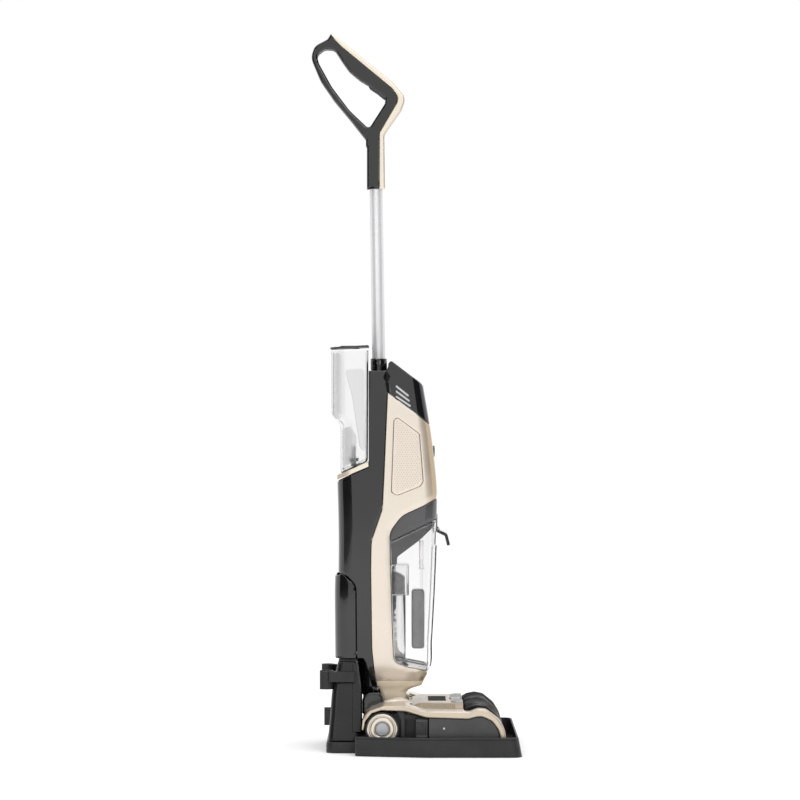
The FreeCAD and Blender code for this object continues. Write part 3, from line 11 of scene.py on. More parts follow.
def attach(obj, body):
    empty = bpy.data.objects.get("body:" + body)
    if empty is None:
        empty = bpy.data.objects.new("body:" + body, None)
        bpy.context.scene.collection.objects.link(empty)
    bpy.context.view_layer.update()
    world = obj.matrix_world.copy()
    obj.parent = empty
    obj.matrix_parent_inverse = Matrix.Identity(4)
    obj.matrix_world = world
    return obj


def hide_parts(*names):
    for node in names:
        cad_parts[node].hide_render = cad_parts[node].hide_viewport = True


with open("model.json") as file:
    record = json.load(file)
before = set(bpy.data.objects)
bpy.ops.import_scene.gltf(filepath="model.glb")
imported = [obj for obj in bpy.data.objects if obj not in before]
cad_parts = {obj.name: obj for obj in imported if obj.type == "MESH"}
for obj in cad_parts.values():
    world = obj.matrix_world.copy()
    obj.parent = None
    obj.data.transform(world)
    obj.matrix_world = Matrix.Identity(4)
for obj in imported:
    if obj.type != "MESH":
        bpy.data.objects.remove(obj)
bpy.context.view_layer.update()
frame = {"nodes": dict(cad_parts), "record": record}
NODES = frame["nodes"]
MM = 0.001
CAMERA_DISTANCE = 5.0
CAMERA_HEIGHT = 0.5545
CAMERA_LENS = 140.6


# ---------------------------------------------------------------- camera, light and floor
def make_camera():
    """Level side view from the machine's right, as far off as a long lens on a whole machine."""
    data = bpy.data.cameras.new("camera")
    data.lens = CAMERA_LENS
    data.sensor_width = 36.0
    data.clip_end = 100.0
    camera = bpy.data.objects.new("camera", data)
    camera.location = (0.0, -CAMERA_DISTANCE, CAMERA_HEIGHT)
    camera.rotation_euler = (math.radians(90), 0.0, 0.0)
    bpy.context.scene.collection.objects.link(camera)
    bpy.context.scene.camera = camera


def area_light(name, place, look_at, size, power):
    data = bpy.data.lights.new(name, "AREA")
    data.shape = "RECTANGLE"
    data.size, data.size_y = size
    data.energy = power
    lamp = bpy.data.objects.new(name, data)
    lamp.location = place
    aim = Vector(look_at) - Vector(place)
    lamp.rotation_euler = aim.to_track_quat("-Z", "Y").to_euler()
    bpy.context.scene.collection.objects.link(lamp)


def make_studio():
    """A white room, with soft lamps in front and above."""
    world = bpy.data.worlds.new("studio")
    world.use_nodes = True
    sky = world.node_tree.nodes["Background"]
    sky.inputs["Color"].default_value = (1.0, 1.0, 1.0, 1.0)
    sky.inputs["Strength"].default_value = 1.0
    scene = bpy.context.scene
    scene.world = world
    scene.view_settings.view_transform = "Standard"
    scene.view_settings.exposure = 0.0
    middle = (0, 0, 0.5)
    area_light("key", (1.6, -3.6, 2.6), middle, (1.6, 1.6), 25)
    area_light("fill", (-1.8, -3.8, 1.4), middle, (0.8, 1.8), 12)
    area_light("top", (0.2, -0.2, 3.6), middle, (2.4, 2.4), 27)


def flat_sheet(name, corners, color, glow=0.0):
    mesh = bpy.data.meshes.new(name)
    mesh.from_pydata(corners, [], [(0, 1, 2, 3)])
    sheet = bpy.data.objects.new(name, mesh)
    bpy.context.scene.collection.objects.link(sheet)
    paint = bpy.data.materials.new(name)
    paint.use_nodes = True
    surface = paint.node_tree.nodes["Principled BSDF"]
    surface.inputs["Base Color"].default_value = (*color, 1.0)
    surface.inputs["Roughness"].default_value = 0.9
    surface.inputs["Specular IOR Level"].default_value = 0.0
    surface.inputs["Emission Color"].default_value = (1.0, 1.0, 1.0, 1.0)
    surface.inputs["Emission Strength"].default_value = glow
    mesh.materials.append(paint)
    return sheet


def make_stage():
    """Pale floor, and dark cloths off to the sides that only show mirrored in the gloss."""
    reach = 40.0
    corners = [(-reach, -reach, 0), (reach, -reach, 0), (reach, reach, 0), (-reach, reach, 0)]
    flat_sheet("floor", corners, (0.95, 0.95, 0.95), 0.05)
    distance, low, high = 4.4, -0.5, 4.0
    first_turn, last_turn = math.radians(20), math.radians(86)
    for side in (1, -1):
        near, far = (
            (side * distance * math.sin(turn), -distance * math.cos(turn)) for turn in (first_turn, last_turn)
        )
        corners = [(*near, low), (*far, low), (*far, high), (*near, high)]
        cloth = flat_sheet(f"cloth_{side}", corners, (0.01, 0.01, 0.01))
        cloth.visible_camera = False
        cloth.visible_diffuse = False
        cloth.visible_shadow = False


# ---------------------------------------------------------------- materials
# sockets of the colour mix node, which has one set of sockets for each kind of value
MIX_SHARE, MIX_FIRST_COLOR, MIX_SECOND_COLOR, MIX_COLOR_OUT = 0, 6, 7, 2


class Shader:
    """A material with a Principled surface, and the textures that give it its grain and wear; it can also
    paint shade on faces by the way they look.
    """

    def __init__(self, name, color, rough, metallic=0.0, **sockets):
        self.material = bpy.data.materials.new(name)
        self.material.use_nodes = True
        self.tree = self.material.node_tree
        self.surface = self.tree.nodes["Principled BSDF"]
        self.color = (*color, 1.0)
        self.surface.inputs["Base Color"].default_value = self.color
        self.surface.inputs["Roughness"].default_value = rough
        self.surface.inputs["Metallic"].default_value = metallic
        for socket, value in sockets.items():
            self.surface.inputs[socket.replace("_", " ")].default_value = value

    def node(self, kind, **values):
        made = self.tree.nodes.new(kind)
        for key, value in values.items():
            if key in made.inputs:
                made.inputs[key].default_value = value
            else:
                setattr(made, key, value)
        return made

    def link(self, source, target):
        self.tree.links.new(source, target)

    def place(self, scale=(1, 1, 1)):
        """Coordinates in metres on the object, stretched by scale."""
        where = self.node("ShaderNodeTexCoord")
        mapping = self.node("ShaderNodeMapping", Scale=scale)
        self.link(where.outputs["Object"], mapping.inputs["Vector"])
        return mapping.outputs["Vector"]

    def noise(self, scale, detail=3.0, stretch=(1, 1, 1)):
        made = self.node("ShaderNodeTexNoise", Scale=scale, Detail=detail)
        self.link(self.place(stretch), made.inputs["Vector"])
        return made.outputs["Fac"]

    def ramp(self, source, low, high, start=0.35, end=0.65):
        made = self.node("ShaderNodeMapRange")
        made.inputs["From Min"].default_value = start
        made.inputs["From Max"].default_value = end
        made.inputs["To Min"].default_value = low
        made.inputs["To Max"].default_value = high
        self.link(source, made.inputs["Value"])
        return made.outputs["Result"]

    def blend_color(self, source, other, start=0.35, end=0.65):
        """The base colour wanders towards another colour where source is high."""
        mix = self.node("ShaderNodeMix", data_type="RGBA")
        base = self.surface.inputs["Base Color"]
        if base.is_linked:
            self.link(base.links[0].from_socket, mix.inputs[MIX_FIRST_COLOR])
        else:
            mix.inputs[MIX_FIRST_COLOR].default_value = self.color
        mix.inputs[MIX_SECOND_COLOR].default_value = (*other, 1.0)
        self.link(self.ramp(source, 0.0, 1.0, start, end), mix.inputs[MIX_SHARE])
        self.link(mix.outputs[MIX_COLOR_OUT], base)

    def vary_roughness(self, source, low, high):
        self.link(self.ramp(source, low, high), self.surface.inputs["Roughness"])

    def paint_shade_by_facing(self, painted_shade_tone):
        """Painted shade: faces that look fore and aft are painted in the darker tone, faces that look
        sideways keep the paint's own.
        """
        where = self.node("ShaderNodeTexCoord")
        parts = self.node("ShaderNodeSeparateXYZ")
        self.link(where.outputs["Normal"], parts.inputs["Vector"])
        size = self.node("ShaderNodeMath")
        size.operation = "ABSOLUTE"
        self.link(parts.outputs["X"], size.inputs[0])
        self.blend_color(size.outputs[0], painted_shade_tone, 0.25, 0.90)

    def bump(self, source, height, strength=0.5):
        made = self.node("ShaderNodeBump", Strength=strength, Distance=height)
        self.link(source, made.inputs["Height"])
        self.link(made.outputs["Normal"], self.surface.inputs["Normal"])


def champagne(name, color, darker, rough, painted_shade_tone=None, metal=0.55):
    """Metallic champagne paint: fine flake, a little orange peel and a clear coat.

    Its faces that look fore and aft are painted in a darker tone, as painted shade.
    """
    made = Shader(name, color, rough, metal, Coat_Weight=0.6, Coat_Roughness=0.08, Specular_IOR_Level=0.5)
    flake = made.noise(2600.0, 2.0)
    made.blend_color(flake, darker, 0.40, 0.75)
    if painted_shade_tone:
        made.paint_shade_by_facing(painted_shade_tone)
    made.vary_roughness(made.noise(14.0, 4.0), rough - 0.04, rough + 0.06)
    made.bump(made.noise(420.0, 2.0), 0.0001, 0.12)
    return made.material


def polished_black(name, color, rough):
    """Moulded gloss black: faint flow unevenness and a few duller handled areas."""
    made = Shader(name, color, rough, Coat_Weight=0.5, Coat_Roughness=0.04)
    made.blend_color(made.noise(9.0, 3.0), [c * 1.35 for c in color])
    made.vary_roughness(made.noise(23.0, 5.0), rough * 0.7, rough * 1.5)
    made.bump(made.noise(60.0, 2.0), 0.0003, 0.06)
    return made.material


def grained(name, color, rough, grain=1500.0, depth=0.00012, specular=0.5):
    """Fine spark-eroded grain, as on moulded trim."""
    made = Shader(name, color, rough, Specular_IOR_Level=specular)
    made.blend_color(made.noise(35.0, 4.0), [min(1.0, c * 1.25) for c in color])
    made.vary_roughness(made.noise(60.0, 4.0), rough - 0.06, rough + 0.08)
    made.bump(made.noise(grain, 2.0), depth, 0.5)
    return made.material


def clear_plastic(name, color, rough):
    """Moulded clear plastic: thin, slightly tinted and uneven."""
    made = Shader(name, color, rough, Transmission_Weight=1.0, IOR=1.45)
    made.vary_roughness(made.noise(30.0, 4.0), rough, rough + 0.05)
    made.bump(made.noise(45.0, 3.0), 0.0004, 0.10)
    return made.material


def smoked_plastic(name, color, rough):
    """Nearly opaque smoked plastic."""
    made = Shader(name, color, rough, Specular_IOR_Level=0.03)
    made.blend_color(made.noise(12.0, 4.0), [c * 2.2 for c in color])
    made.vary_roughness(made.noise(34.0, 5.0), rough * 0.7, rough * 1.7)
    made.bump(made.noise(50.0, 3.0), 0.0006, 0.14)
    return made.material


def brushed_metal(name, color, rough, metal=1.0):
    made = Shader(name, color, rough, metal)
    lines = made.noise(260.0, 4.0, (1.0, 1.0, 0.02))
    made.vary_roughness(lines, rough - 0.07, rough + 0.1)
    made.blend_color(lines, [c * 0.88 for c in color])
    made.bump(lines, 0.00006, 0.4)
    return made.material


def pile(name, color):
    """Short microfibre pile, mottled in two tones."""
    made = Shader(name, color, 0.95, Sheen_Weight=0.6, Sheen_Roughness=0.4)
    made.blend_color(made.noise(900.0, 4.0), [c * 0.6 for c in color])
    made.bump(made.noise(1400.0, 4.0), 0.0012, 0.9)
    return made.material


def make_materials():
    return {
        # the last colour given to a champagne paint is its painted shade tone, laid on faces that look fore
        # and aft
        "gold_paint": champagne("champagne_paint", (0.745, 0.675, 0.59), (0.66, 0.58, 0.48),
                                0.30, (0.44, 0.32, 0.18)),
        "gold_trim": champagne("champagne_trim", (0.80, 0.73, 0.62), (0.72, 0.63, 0.50),
                               0.30, (0.42, 0.31, 0.20)),
        # the foot's strips take a darker copy of the gold paint: painted shade
        "gold_foot_painted_shade": champagne("champagne_foot_painted_shade", (0.62, 0.53, 0.42), (0.54, 0.45, 0.34),
                               0.34, (0.52, 0.41, 0.28)),
        # the neck takes a lighter, less metallic copy of the gold paint: painted light
        "gold_neck_painted_light": champagne("champagne_neck_painted_light", (0.88, 0.77, 0.60), (0.80, 0.69, 0.52), 0.55, metal=0.1),
        # the deck takes a darker, rougher copy of the gold paint: painted shade in place of the dim
        # reflection on its top
        "gold_deck_painted_shade": champagne("champagne_deck_painted_shade", (0.42, 0.34, 0.24), (0.34, 0.27, 0.18), 0.5),
        "gold_shade": champagne("champagne_shade", (0.42, 0.33, 0.23), (0.36, 0.28, 0.19), 0.5),
        "lid_black": polished_black("lid_black", (0.045, 0.045, 0.047), 0.2),
        "wheel_cream": champagne("cream_paint", (0.78, 0.715, 0.63), (0.70, 0.63, 0.53),
                                 0.30, (0.40, 0.33, 0.24)),
        "black_gloss": polished_black("gloss_black", (0.005, 0.005, 0.0055), 0.10),
        "panel_glass": polished_black("panel_black", (0.006, 0.006, 0.007), 0.06),
        "black_satin": grained("satin_black", (0.022, 0.022, 0.024), 0.42),
        "dock_black": grained("dock_black", (0.018, 0.018, 0.019), 0.42, 1100.0, specular=0.35),
        "dark_grey": grained("dark_grey", (0.046, 0.046, 0.048), 0.42, specular=0.4),
        "mid_grey": grained("mid_grey", (0.30, 0.30, 0.305), 0.45),
        "light_grey": grained("light_grey", (0.52, 0.52, 0.53), 0.35),
        "clear_tank": clear_plastic("clear_tank", (0.955, 0.955, 0.955), 0.02),
        "plaque": grained("plaque_black", (0.02, 0.02, 0.02), 0.85, specular=0.2),
        "axle_grey": grained("axle_grey", (0.33, 0.34, 0.36), 0.4),
        "dock_gloss": grained("dock_gloss", (0.010, 0.010, 0.011), 0.22, 500.0, 0.00008, 0.4),
        "tank_inner": clear_plastic("tank_inner", (0.93, 0.93, 0.93), 0.03),
        "tank_frost": clear_plastic("tank_frost", (0.96, 0.96, 0.96), 0.35),
        "smoke_window": smoked_plastic("smoke_window", (0.009, 0.0085, 0.008), 0.45),
        "tube_metal": brushed_metal("anodised_tube", (0.80, 0.80, 0.81), 0.42, 0.6),
        "motor_metal": brushed_metal("plain_steel", (0.55, 0.55, 0.56), 0.35),
        "contact_brass": brushed_metal("contact_brass", (0.80, 0.62, 0.30), 0.25),
        "tyre_rubber": grained("tyre_rubber", (0.020, 0.020, 0.020), 0.75, 700.0, 0.0003),
        "soft_rubber": grained("soft_rubber", (0.024, 0.024, 0.024), 0.7, 900.0),
        "hose_grey": grained("hose_grey", (0.05, 0.05, 0.05), 0.6),
        "brush_pile": pile("brush_pile", (0.42, 0.43, 0.46)),
        "cell_wrap": grained("cell_wrap", (0.04, 0.12, 0.25), 0.4),
        "board_green": grained("board_green", (0.02, 0.12, 0.06), 0.4),
    }


MATERIALS = make_materials()


# ---------------------------------------------------------------- outlines and plates
def smooth(value, low, high):
    share = np.clip((value - low) / (high - low), 0.0, 1.0)
    return share * share * (3 - 2 * share)


def rounded(corners, closed=True, step=2.5):
    """Points along an outline of (u, v) or (u, v, radius) corners in millimetres, its corners as arcs."""
    count = len(corners)
    turns = []
    for i, corner in enumerate(corners):
        here = Vector(corner[:2])
        radius = corner[2] if len(corner) > 2 else 0.0
        if radius == 0.0 or (not closed and i in (0, count - 1)):
            turns.append([here])
            continue
        before = Vector(corners[i - 1][:2]) - here
        after = Vector(corners[(i + 1) % count][:2]) - here
        half = before.angle(after) / 2
        if math.pi / 2 - half < 0.01:
            turns.append([here])
            continue
        room = 0.49 * min(before.length, after.length)
        cut = min(radius / math.tan(half), room)
        radius = cut * math.tan(half)
        centre = here + (before.normalized() + after.normalized()).normalized() * radius / math.sin(half)
        first = here + before.normalized() * cut - centre
        sweep = math.pi - 2 * half
        side = 1.0 if before.x * after.y - before.y * after.x < 0 else -1.0
        pieces = max(2, math.ceil(sweep / math.radians(12)), math.ceil(radius * sweep / step))
        arc = []
        for k in range(pieces + 1):
            angle = side * sweep * k / pieces
            cosine, sine = math.cos(angle), math.sin(angle)
            arc.append(centre + Vector((first.x * cosine - first.y * sine,
                                        first.x * sine + first.y * cosine)))
        turns.append(arc)
    points = []
    for i, arc in enumerate(turns):
        points.extend(arc)
        if not closed and i == count - 1:
            break
        start, end = arc[-1], turns[(i + 1) % count][0]
        pieces = max(1, round((end - start).length / step))
        points.extend(start.lerp(end, k / pieces) for k in range(1, pieces))
    tidy = [points[0]]
    for point in points[1:]:
        if (point - tidy[-1]).length > 0.05:
            tidy.append(point)
    if closed and (tidy[0] - tidy[-1]).length < 0.05:
        tidy.pop()
    return tidy


def rectangle(corner, opposite, radius, step=2.5):
    """Outline of a rectangle between two opposite corners, with rounded corners."""
    (x_from, y_from), (x_to, y_to) = corner, opposite
    return rounded([(x_from, y_from, radius), (x_to, y_from, radius), (x_to, y_to, radius),
                    (x_from, y_to, radius)], step=step)


def circle(x, y, radius, count):
    turns = [math.tau * k / count for k in range(count)]
    return [Vector((x + radius * math.cos(turn), y + radius * math.sin(turn))) for turn in turns]


def distances(points, loops):
    """How far each point is from the nearest stretch of the loops."""
    starts = np.concatenate(loops)
    ends = np.concatenate([np.roll(loop, -1, axis=0) for loop in loops])
    along = ends - starts
    lengths = np.maximum((along**2).sum(1), 1e-12)
    nearest = np.full(len(points), 1e9)
    for low in range(0, len(points), 2000):
        some = points[low : low + 2000]
        offset = some[:, None, :] - starts[None]
        share = np.clip((offset * along[None]).sum(2) / lengths, 0, 1)
        gap = offset - share[:, :, None] * along[None]
        nearest[low : low + 2000] = np.sqrt((gap**2).sum(2).min(1))
    return nearest


def inside(points, loops):
    """Even-odd test: in the outer loop and in none of the holes."""
    starts = np.concatenate(loops)
    ends = np.concatenate([np.roll(loop, -1, axis=0) for loop in loops])
    x, y = points[:, 0:1], points[:, 1:2]
    straddles = (starts[None, :, 1] > y) != (ends[None, :, 1] > y)
    rise = ends[:, 1] - starts[:, 1]
    rise = np.where(np.abs(rise) < 1e-12, 1e-12, rise)
    run = ends[:, 0] - starts[:, 0]
    cross = starts[None, :, 0] + (y - starts[None, :, 1]) * run[None] / rise[None]
    return (straddles & (x < cross)).sum(1) % 2 == 1


def inward_normals(loop, area_sign):
    ahead = np.roll(loop, -1, axis=0) - loop
    behind = loop - np.roll(loop, 1, axis=0)
    ahead /= np.maximum(np.linalg.norm(ahead, axis=1, keepdims=True), 1e-9)
    behind /= np.maximum(np.linalg.norm(behind, axis=1, keepdims=True), 1e-9)
    tangent = ahead + behind
    tangent /= np.maximum(np.linalg.norm(tangent, axis=1, keepdims=True), 1e-9)
    normal = np.stack([-tangent[:, 1], tangent[:, 0]], axis=1) * area_sign
    slant = np.maximum((normal * np.stack([-ahead[:, 1], ahead[:, 0]], axis=1) * area_sign).sum(1), 0.5)
    return normal / slant[:, None]


def signed_area(loop):
    ahead = np.roll(loop, -1, axis=0)
    return 0.5 * (loop[:, 0] * ahead[:, 1] - loop[:, 1] * ahead[:, 0]).sum()


def edge_depth(gap, radius):
    """How far a rounded edge has fallen away at each gap from the rim."""
    short = np.clip(radius - gap, 0, None)
    return radius - np.sqrt(np.maximum(radius**2 - short**2, 0))


def as_loops(outline, holes=()):
    return [np.array([tuple(p)[:2] for p in loop]) for loop in (outline, *holes)]


def rim_points(loops, edge, rings, soft):
    """Rings of points just inside every loop, as close as the rounding of the edge needs."""
    gaps = [edge * (1 - math.cos(math.pi / 2 * ring / rings)) for ring in range(1, rings + 1)]
    if soft:
        gaps += [soft[1] * (1 - math.cos(math.pi / 12 * ring)) for ring in range(1, 6)]
    made = []
    for i, loop in enumerate(loops):
        sign = math.copysign(1.0, signed_area(loop)) * (1.0 if i == 0 else -1.0)
        normals = inward_normals(loop, sign)
        for gap in sorted(gaps):
            moved = loop + normals * gap
            good = (distances(moved, loops) > 0.93 * gap) & inside(moved, loops)
            made.append(moved[good])
    return made


def field_points(loops, edge, grid):
    """Staggered rows of points over the rest of the plate."""
    low, high = loops[0].min(0), loops[0].max(0)
    across = np.arange(low[0] + grid / 2, high[0], grid)
    rows = np.arange(low[1] + grid / 2, high[1], grid * 0.87)
    field = np.array([(u + (grid / 2 if j % 2 else 0.0), v) for j, v in enumerate(rows) for u in across])
    if len(field) == 0:
        return []
    field = field[inside(field, loops)]
    return [field[distances(field, loops) > edge + 0.55 * grid]]


def open_edges(triangles):
    """The edges that belong to one triangle only, each in the direction that its triangle has it."""
    seen = {}
    for a, b, c in triangles:
        for start, end in ((a, b), (b, c), (c, a)):
            seen.setdefault((min(start, end), max(start, end)), []).append((int(start), int(end)))
    return [pair[0] for pair in seen.values() if len(pair) == 1]


def plate(name, outline, place, thick, edge, holes=(), grid=4.0, back_edge=0.2, rings=3, soft=None,
          crown=None):
    """A plate with rounded edges. outline and holes are loops of 2-D points in millimetres.

    place(u, v, depth) gives the point in millimetres that lies depth below the plate's outer face.
    soft is (loops, radius): both faces fall away towards those loops, as on a moulding rounded all over.
    crown(points) is an extra depth of the outer face at each 2-D point.
    """
    loops = as_loops(outline, holes)
    points, edges = [], []
    for loop in loops:
        first = len(points)
        points.extend(loop)
        edges.extend((first + k, first + (k + 1) % len(loop)) for k in range(len(loop)))
    points.extend(np.concatenate(rim_points(loops, edge, rings, soft) + field_points(loops, edge, grid)))
    flat, _, faces, _, _, _ = delaunay_2d_cdt([Vector(p) for p in points], edges, [], 0, 1e-4, True)
    flat = np.array([tuple(p) for p in flat])
    triangles = np.array([f for f in faces if len(f) == 3])
    triangles = triangles[inside(flat[triangles].mean(1), loops)]
    gaps = distances(flat, loops)
    gaps[gaps < 1e-3] = 0.0
    top = edge_depth(gaps, edge)
    bottom = thick - edge_depth(gaps, back_edge)
    if soft:
        fall = edge_depth(distances(flat, soft[0]), soft[1])
        top = np.maximum(top, fall)
        bottom = np.minimum(bottom, thick - fall)
    if crown is not None:
        top = top + crown(flat)
    count = len(flat)
    verts = [place(u, v, d) for (u, v), d in zip(flat, top)]
    verts += [place(u, v, d) for (u, v), d in zip(flat, bottom)]
    polygons = [tuple(t) for t in triangles]
    polygons += [tuple(int(i) + count for i in t[::-1]) for t in triangles]
    polygons += [(end, start, start + count, end + count) for start, end in open_edges(triangles)]
    return mesh_object(name, verts, polygons)


def beside(side, reach):
    """Place function of a plate that stands upright at one side, its outer face reach from the middle."""
    return lambda x, z, depth: (x, side * (reach - depth), z)


def at_level(top):
    """Place function of a plate that lies flat, its outer face at height top."""
    return lambda x, y, depth: (x, y, top - depth)


def mesh_object(name, verts, polygons, sharp=40.0):
    """A smooth-shaded mesh from points in millimetres, its loose points dropped and faces turned out."""
    mesh = bpy.data.meshes.new(name)
    mesh.from_pydata([Vector(v) * MM for v in verts], [], [tuple(int(i) for i in p) for p in polygons])
    work = bmesh.new()
    work.from_mesh(mesh)
    bmesh.ops.delete(work, geom=[v for v in work.verts if not v.link_faces], context="VERTS")
    bmesh.ops.remove_doubles(work, verts=work.verts, dist=1e-6)
    bmesh.ops.recalc_face_normals(work, faces=work.faces)
    work.to_mesh(mesh)
    work.free()
    mesh.shade_smooth()
    mesh.set_sharp_from_angle(angle=math.radians(sharp))
    made = bpy.data.objects.new(name, mesh)
    bpy.context.scene.collection.objects.link(made)
    return made


def dress(made, body, slot, material=None, replaces=()):
    """Gives a piece its material, its body and the CAD nodes it stands for."""
    made.data.materials.append(MATERIALS[material or slot])
    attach(made, body)
    if replaces:
        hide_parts(*replaces)


class Form:
    """A column of rounded rectangles. Rows: height, rear, front, half width, rear and front corner radius."""

    def __init__(self, rows):
        table = np.array(sorted(rows), float)
        self.heights = table[:, 0]
        self.values = table[:, 1:]
        self.slopes = np.gradient(self.values, self.heights, axis=0)

    def at(self, z):
        z = min(max(z, self.heights[0]), self.heights[-1])
        i = min(max(int(np.searchsorted(self.heights, z)) - 1, 0), len(self.heights) - 2)
        span = self.heights[i + 1] - self.heights[i]
        t = (z - self.heights[i]) / span
        a, b = self.values[i], self.values[i + 1]
        m, n = self.slopes[i] * span, self.slopes[i + 1] * span
        return ((2 * t**3 - 3 * t**2 + 1) * a + (t**3 - 2 * t**2 + t) * m
                + (3 * t**2 - 2 * t**3) * b + (t**3 - t**2) * n)

    def reach(self, x, z):
        """Distance round the section from the middle of the front to the side point at x."""
        rear, front, half, rear_r, front_r = self.at(z)
        if x >= front - front_r:
            turn = math.acos(min(1.0, max(-1.0, (x - front + front_r) / front_r)))
            return half - front_r + front_r * turn
        start = half - front_r + front_r * math.pi / 2
        if x >= rear + rear_r:
            return start + front - front_r - x
        turn = math.asin(min(1.0, (rear + rear_r - x) / rear_r))
        return start + front - front_r - rear - rear_r + rear_r * turn

    def width_at(self, x, z):
        """Half width of the section at x."""
        rear, front, half, rear_r, front_r = self.at(z)
        if x > front - front_r:
            short = min(x - front + front_r, front_r)
            return half - front_r + math.sqrt(front_r**2 - short**2)
        if x < rear + rear_r:
            short = min(rear + rear_r - x, rear_r)
            return half - rear_r + math.sqrt(rear_r**2 - short**2)
        return half

    def half_round(self, z):
        """Distance from the middle of the front to the middle of the rear."""
        rear, front, half, rear_r, front_r = self.at(z)
        corners = (front_r + rear_r) * math.pi / 2
        return 2 * half - front_r - rear_r + corners + front - front_r - rear - rear_r

    def point(self, s, z, depth=0.0):
        rear, front, half, rear_r, front_r = self.at(z)
        side = 1.0 if s >= 0 else -1.0
        s = abs(s)
        flat = half - front_r
        if s <= flat:
            return (front - depth, side * s, z)
        s -= flat
        if s <= front_r * math.pi / 2:
            turn = s / front_r
            r = front_r - depth
            return (front - front_r + r * math.cos(turn), side * (flat + r * math.sin(turn)), z)
        s -= front_r * math.pi / 2
        run = front - front_r - rear - rear_r
        if s <= run:
            return (front - front_r - s, side * (half - depth), z)
        s -= run
        if s <= rear_r * math.pi / 2:
            turn = s / rear_r
            r = rear_r - depth
            return (rear + rear_r - r * math.sin(turn), side * (half - rear_r + r * math.cos(turn)), z)
        s -= rear_r * math.pi / 2
        return (rear + depth, side * (half - rear_r - s), z)

    def point_in(self, sunk):
        """The form's point function for a surface that lies sunk below it."""
        return lambda s, z, depth: self.point(s, z, depth + sunk)

    def from_rear(self, t, z, depth=0.0):
        """As point, but with the distance counted from the middle of the rear."""
        return self.point(math.copysign(max(self.half_round(z) - abs(t), 0.0), t), z, depth)


def column(name, form, low, high, edge, step=4.0, around=96):
    """A closed column over a form, its top and bottom edges rounded."""
    count = max(2, round((high - low - 2 * edge) / step))
    levels = [(low + edge - edge * math.sin(a), edge - edge * math.cos(a))
              for a in (math.pi / 2 * k / 4 for k in range(4, 0, -1))]
    levels += [(low + edge + (high - low - 2 * edge) * k / count, 0.0) for k in range(count + 1)]
    levels += [(high - edge + edge * math.sin(a), edge - edge * math.cos(a))
               for a in (math.pi / 2 * k / 4 for k in range(1, 5))]
    rings = []
    for z, depth in levels:
        total = 2 * form.half_round(z)
        spots = [((k + 0.5) / around - 0.5) * total for k in range(around)]
        rings.append([form.point(s, z, depth) for s in spots])
    return skin(name, rings)


def skin(name, rings, sharp=40.0, caps=True):
    """A surface through rings of points in millimetres, each with as many points. caps closes both ends."""
    size = len(rings[0])
    verts = [p for ring in rings for p in ring]
    polygons = []
    for i in range(len(rings) - 1):
        for k in range(size):
            a, b = i * size + k, i * size + (k + 1) % size
            polygons.append((a, b, b + size, a + size))
    if caps:
        polygons.append(tuple(range(size))[::-1])
        polygons.append(tuple((len(rings) - 1) * size + k for k in range(size)))
    return mesh_object(name, verts, polygons, sharp)


def spun(name, profile, centre, axis="z", around=64):
    """A turned piece: (radius, height) corners spun round a z or y axis through centre."""
    rings = []
    for radius, height in profile:
        ring = []
        for k in range(around):
            turn = math.tau * k / around
            a, b = radius * math.cos(turn), radius * math.sin(turn)
            spot = (a, b, height) if axis == "z" else (a, height, b)
            ring.append(tuple(c + s for c, s in zip(centre, spot)))
        rings.append(ring)
    rings.append(rings[0])
    return skin(name, rings, 35.0, caps=False)


# ---------------------------------------------------------------- the upright's outer form
UPRIGHT = Form([
    (100, -58, 33, 37, 15, 15),
    (126, -82, 46, 54, 22, 20),
    (170, -99, 49, 61, 26, 22),
    (263, -98, 54, 65, 27, 22),
    (340, -97.5, 57, 67, 27, 22),
    (410, -99, 58.5, 68, 27, 22),
    (463, -101, 54, 68, 27, 22),
    (522, -104, 46, 67, 27, 20),
    (569, -106, 38, 65, 27, 18),
    (622, -108, 29, 62, 26, 16),
])
# cover of the housing behind the neck
TAIL = Form([
    (85.5, -61.0, -42.5, 34, 12, 1.5),
    (101, -63.2, -43.4, 38, 18, 1.5),
    (125, -65.2, -48.0, 41, 20, 1.5),
    (146.2, -66.6, -52.0, 44, 20, 1.5),
])
# battery pack
BATTERY_FORM = Form([
    (145, -103.0, -69.2, 62.0, 25, 3),
    (200, -103.5, -69.2, 62.5, 26, 3),
    (262, -103.5, -69.2, 62.5, 26, 3),
    (278, -103.0, -69.2, 62.0, 26, 3),
])
# parting line between the gold front and the black rear, from the side, top to bottom
SEAM = [(-19.7, 565.7), (-25.6, 428.2, 60), (-28.0, 382.0, 30), (-45.6, 331.0, 45), (-46.2, 283.2, 60),
        (-44.4, 160.0, 60), (-40.5, 124.0, 60)]
# edge of the bay that the dirty tank stands in, from the front of its roof to the front of its cup
BAY = [(75.0, 407.0), (34.7, 386.0, 60), (3.0, 371.5, 40), (-16.0, 346.0, 28), (-15.2, 291.3, 60),
       (-11.4, 172.2, 60), (-9.5, 140.0, 14), (12.0, 131.2, 30), (44.0, 125.7, 30), (75.0, 120.5)]
HEAD_EDGE = [(75.0, 488.0), (43.6, 518.0, 6), (22.3, 534.9, 20), (-19.7, 565.7)]
GRILLE = [(-9.5, 524.0, 5), (-4.0, 527.0, 4), (31.0, 501.0, 6), (36.8, 425.4, 8), (31.5, 418.0, 6),
          (-5.2, 403.1, 8), (-13.7, 409.0, 6)]
LID_SEAM = [(-16.7, 331.0), (75.0, 374.8)]
SHELL = 2.4
GAP = 0.25
SIDES = ((1.0, "left"), (-1.0, "right"))


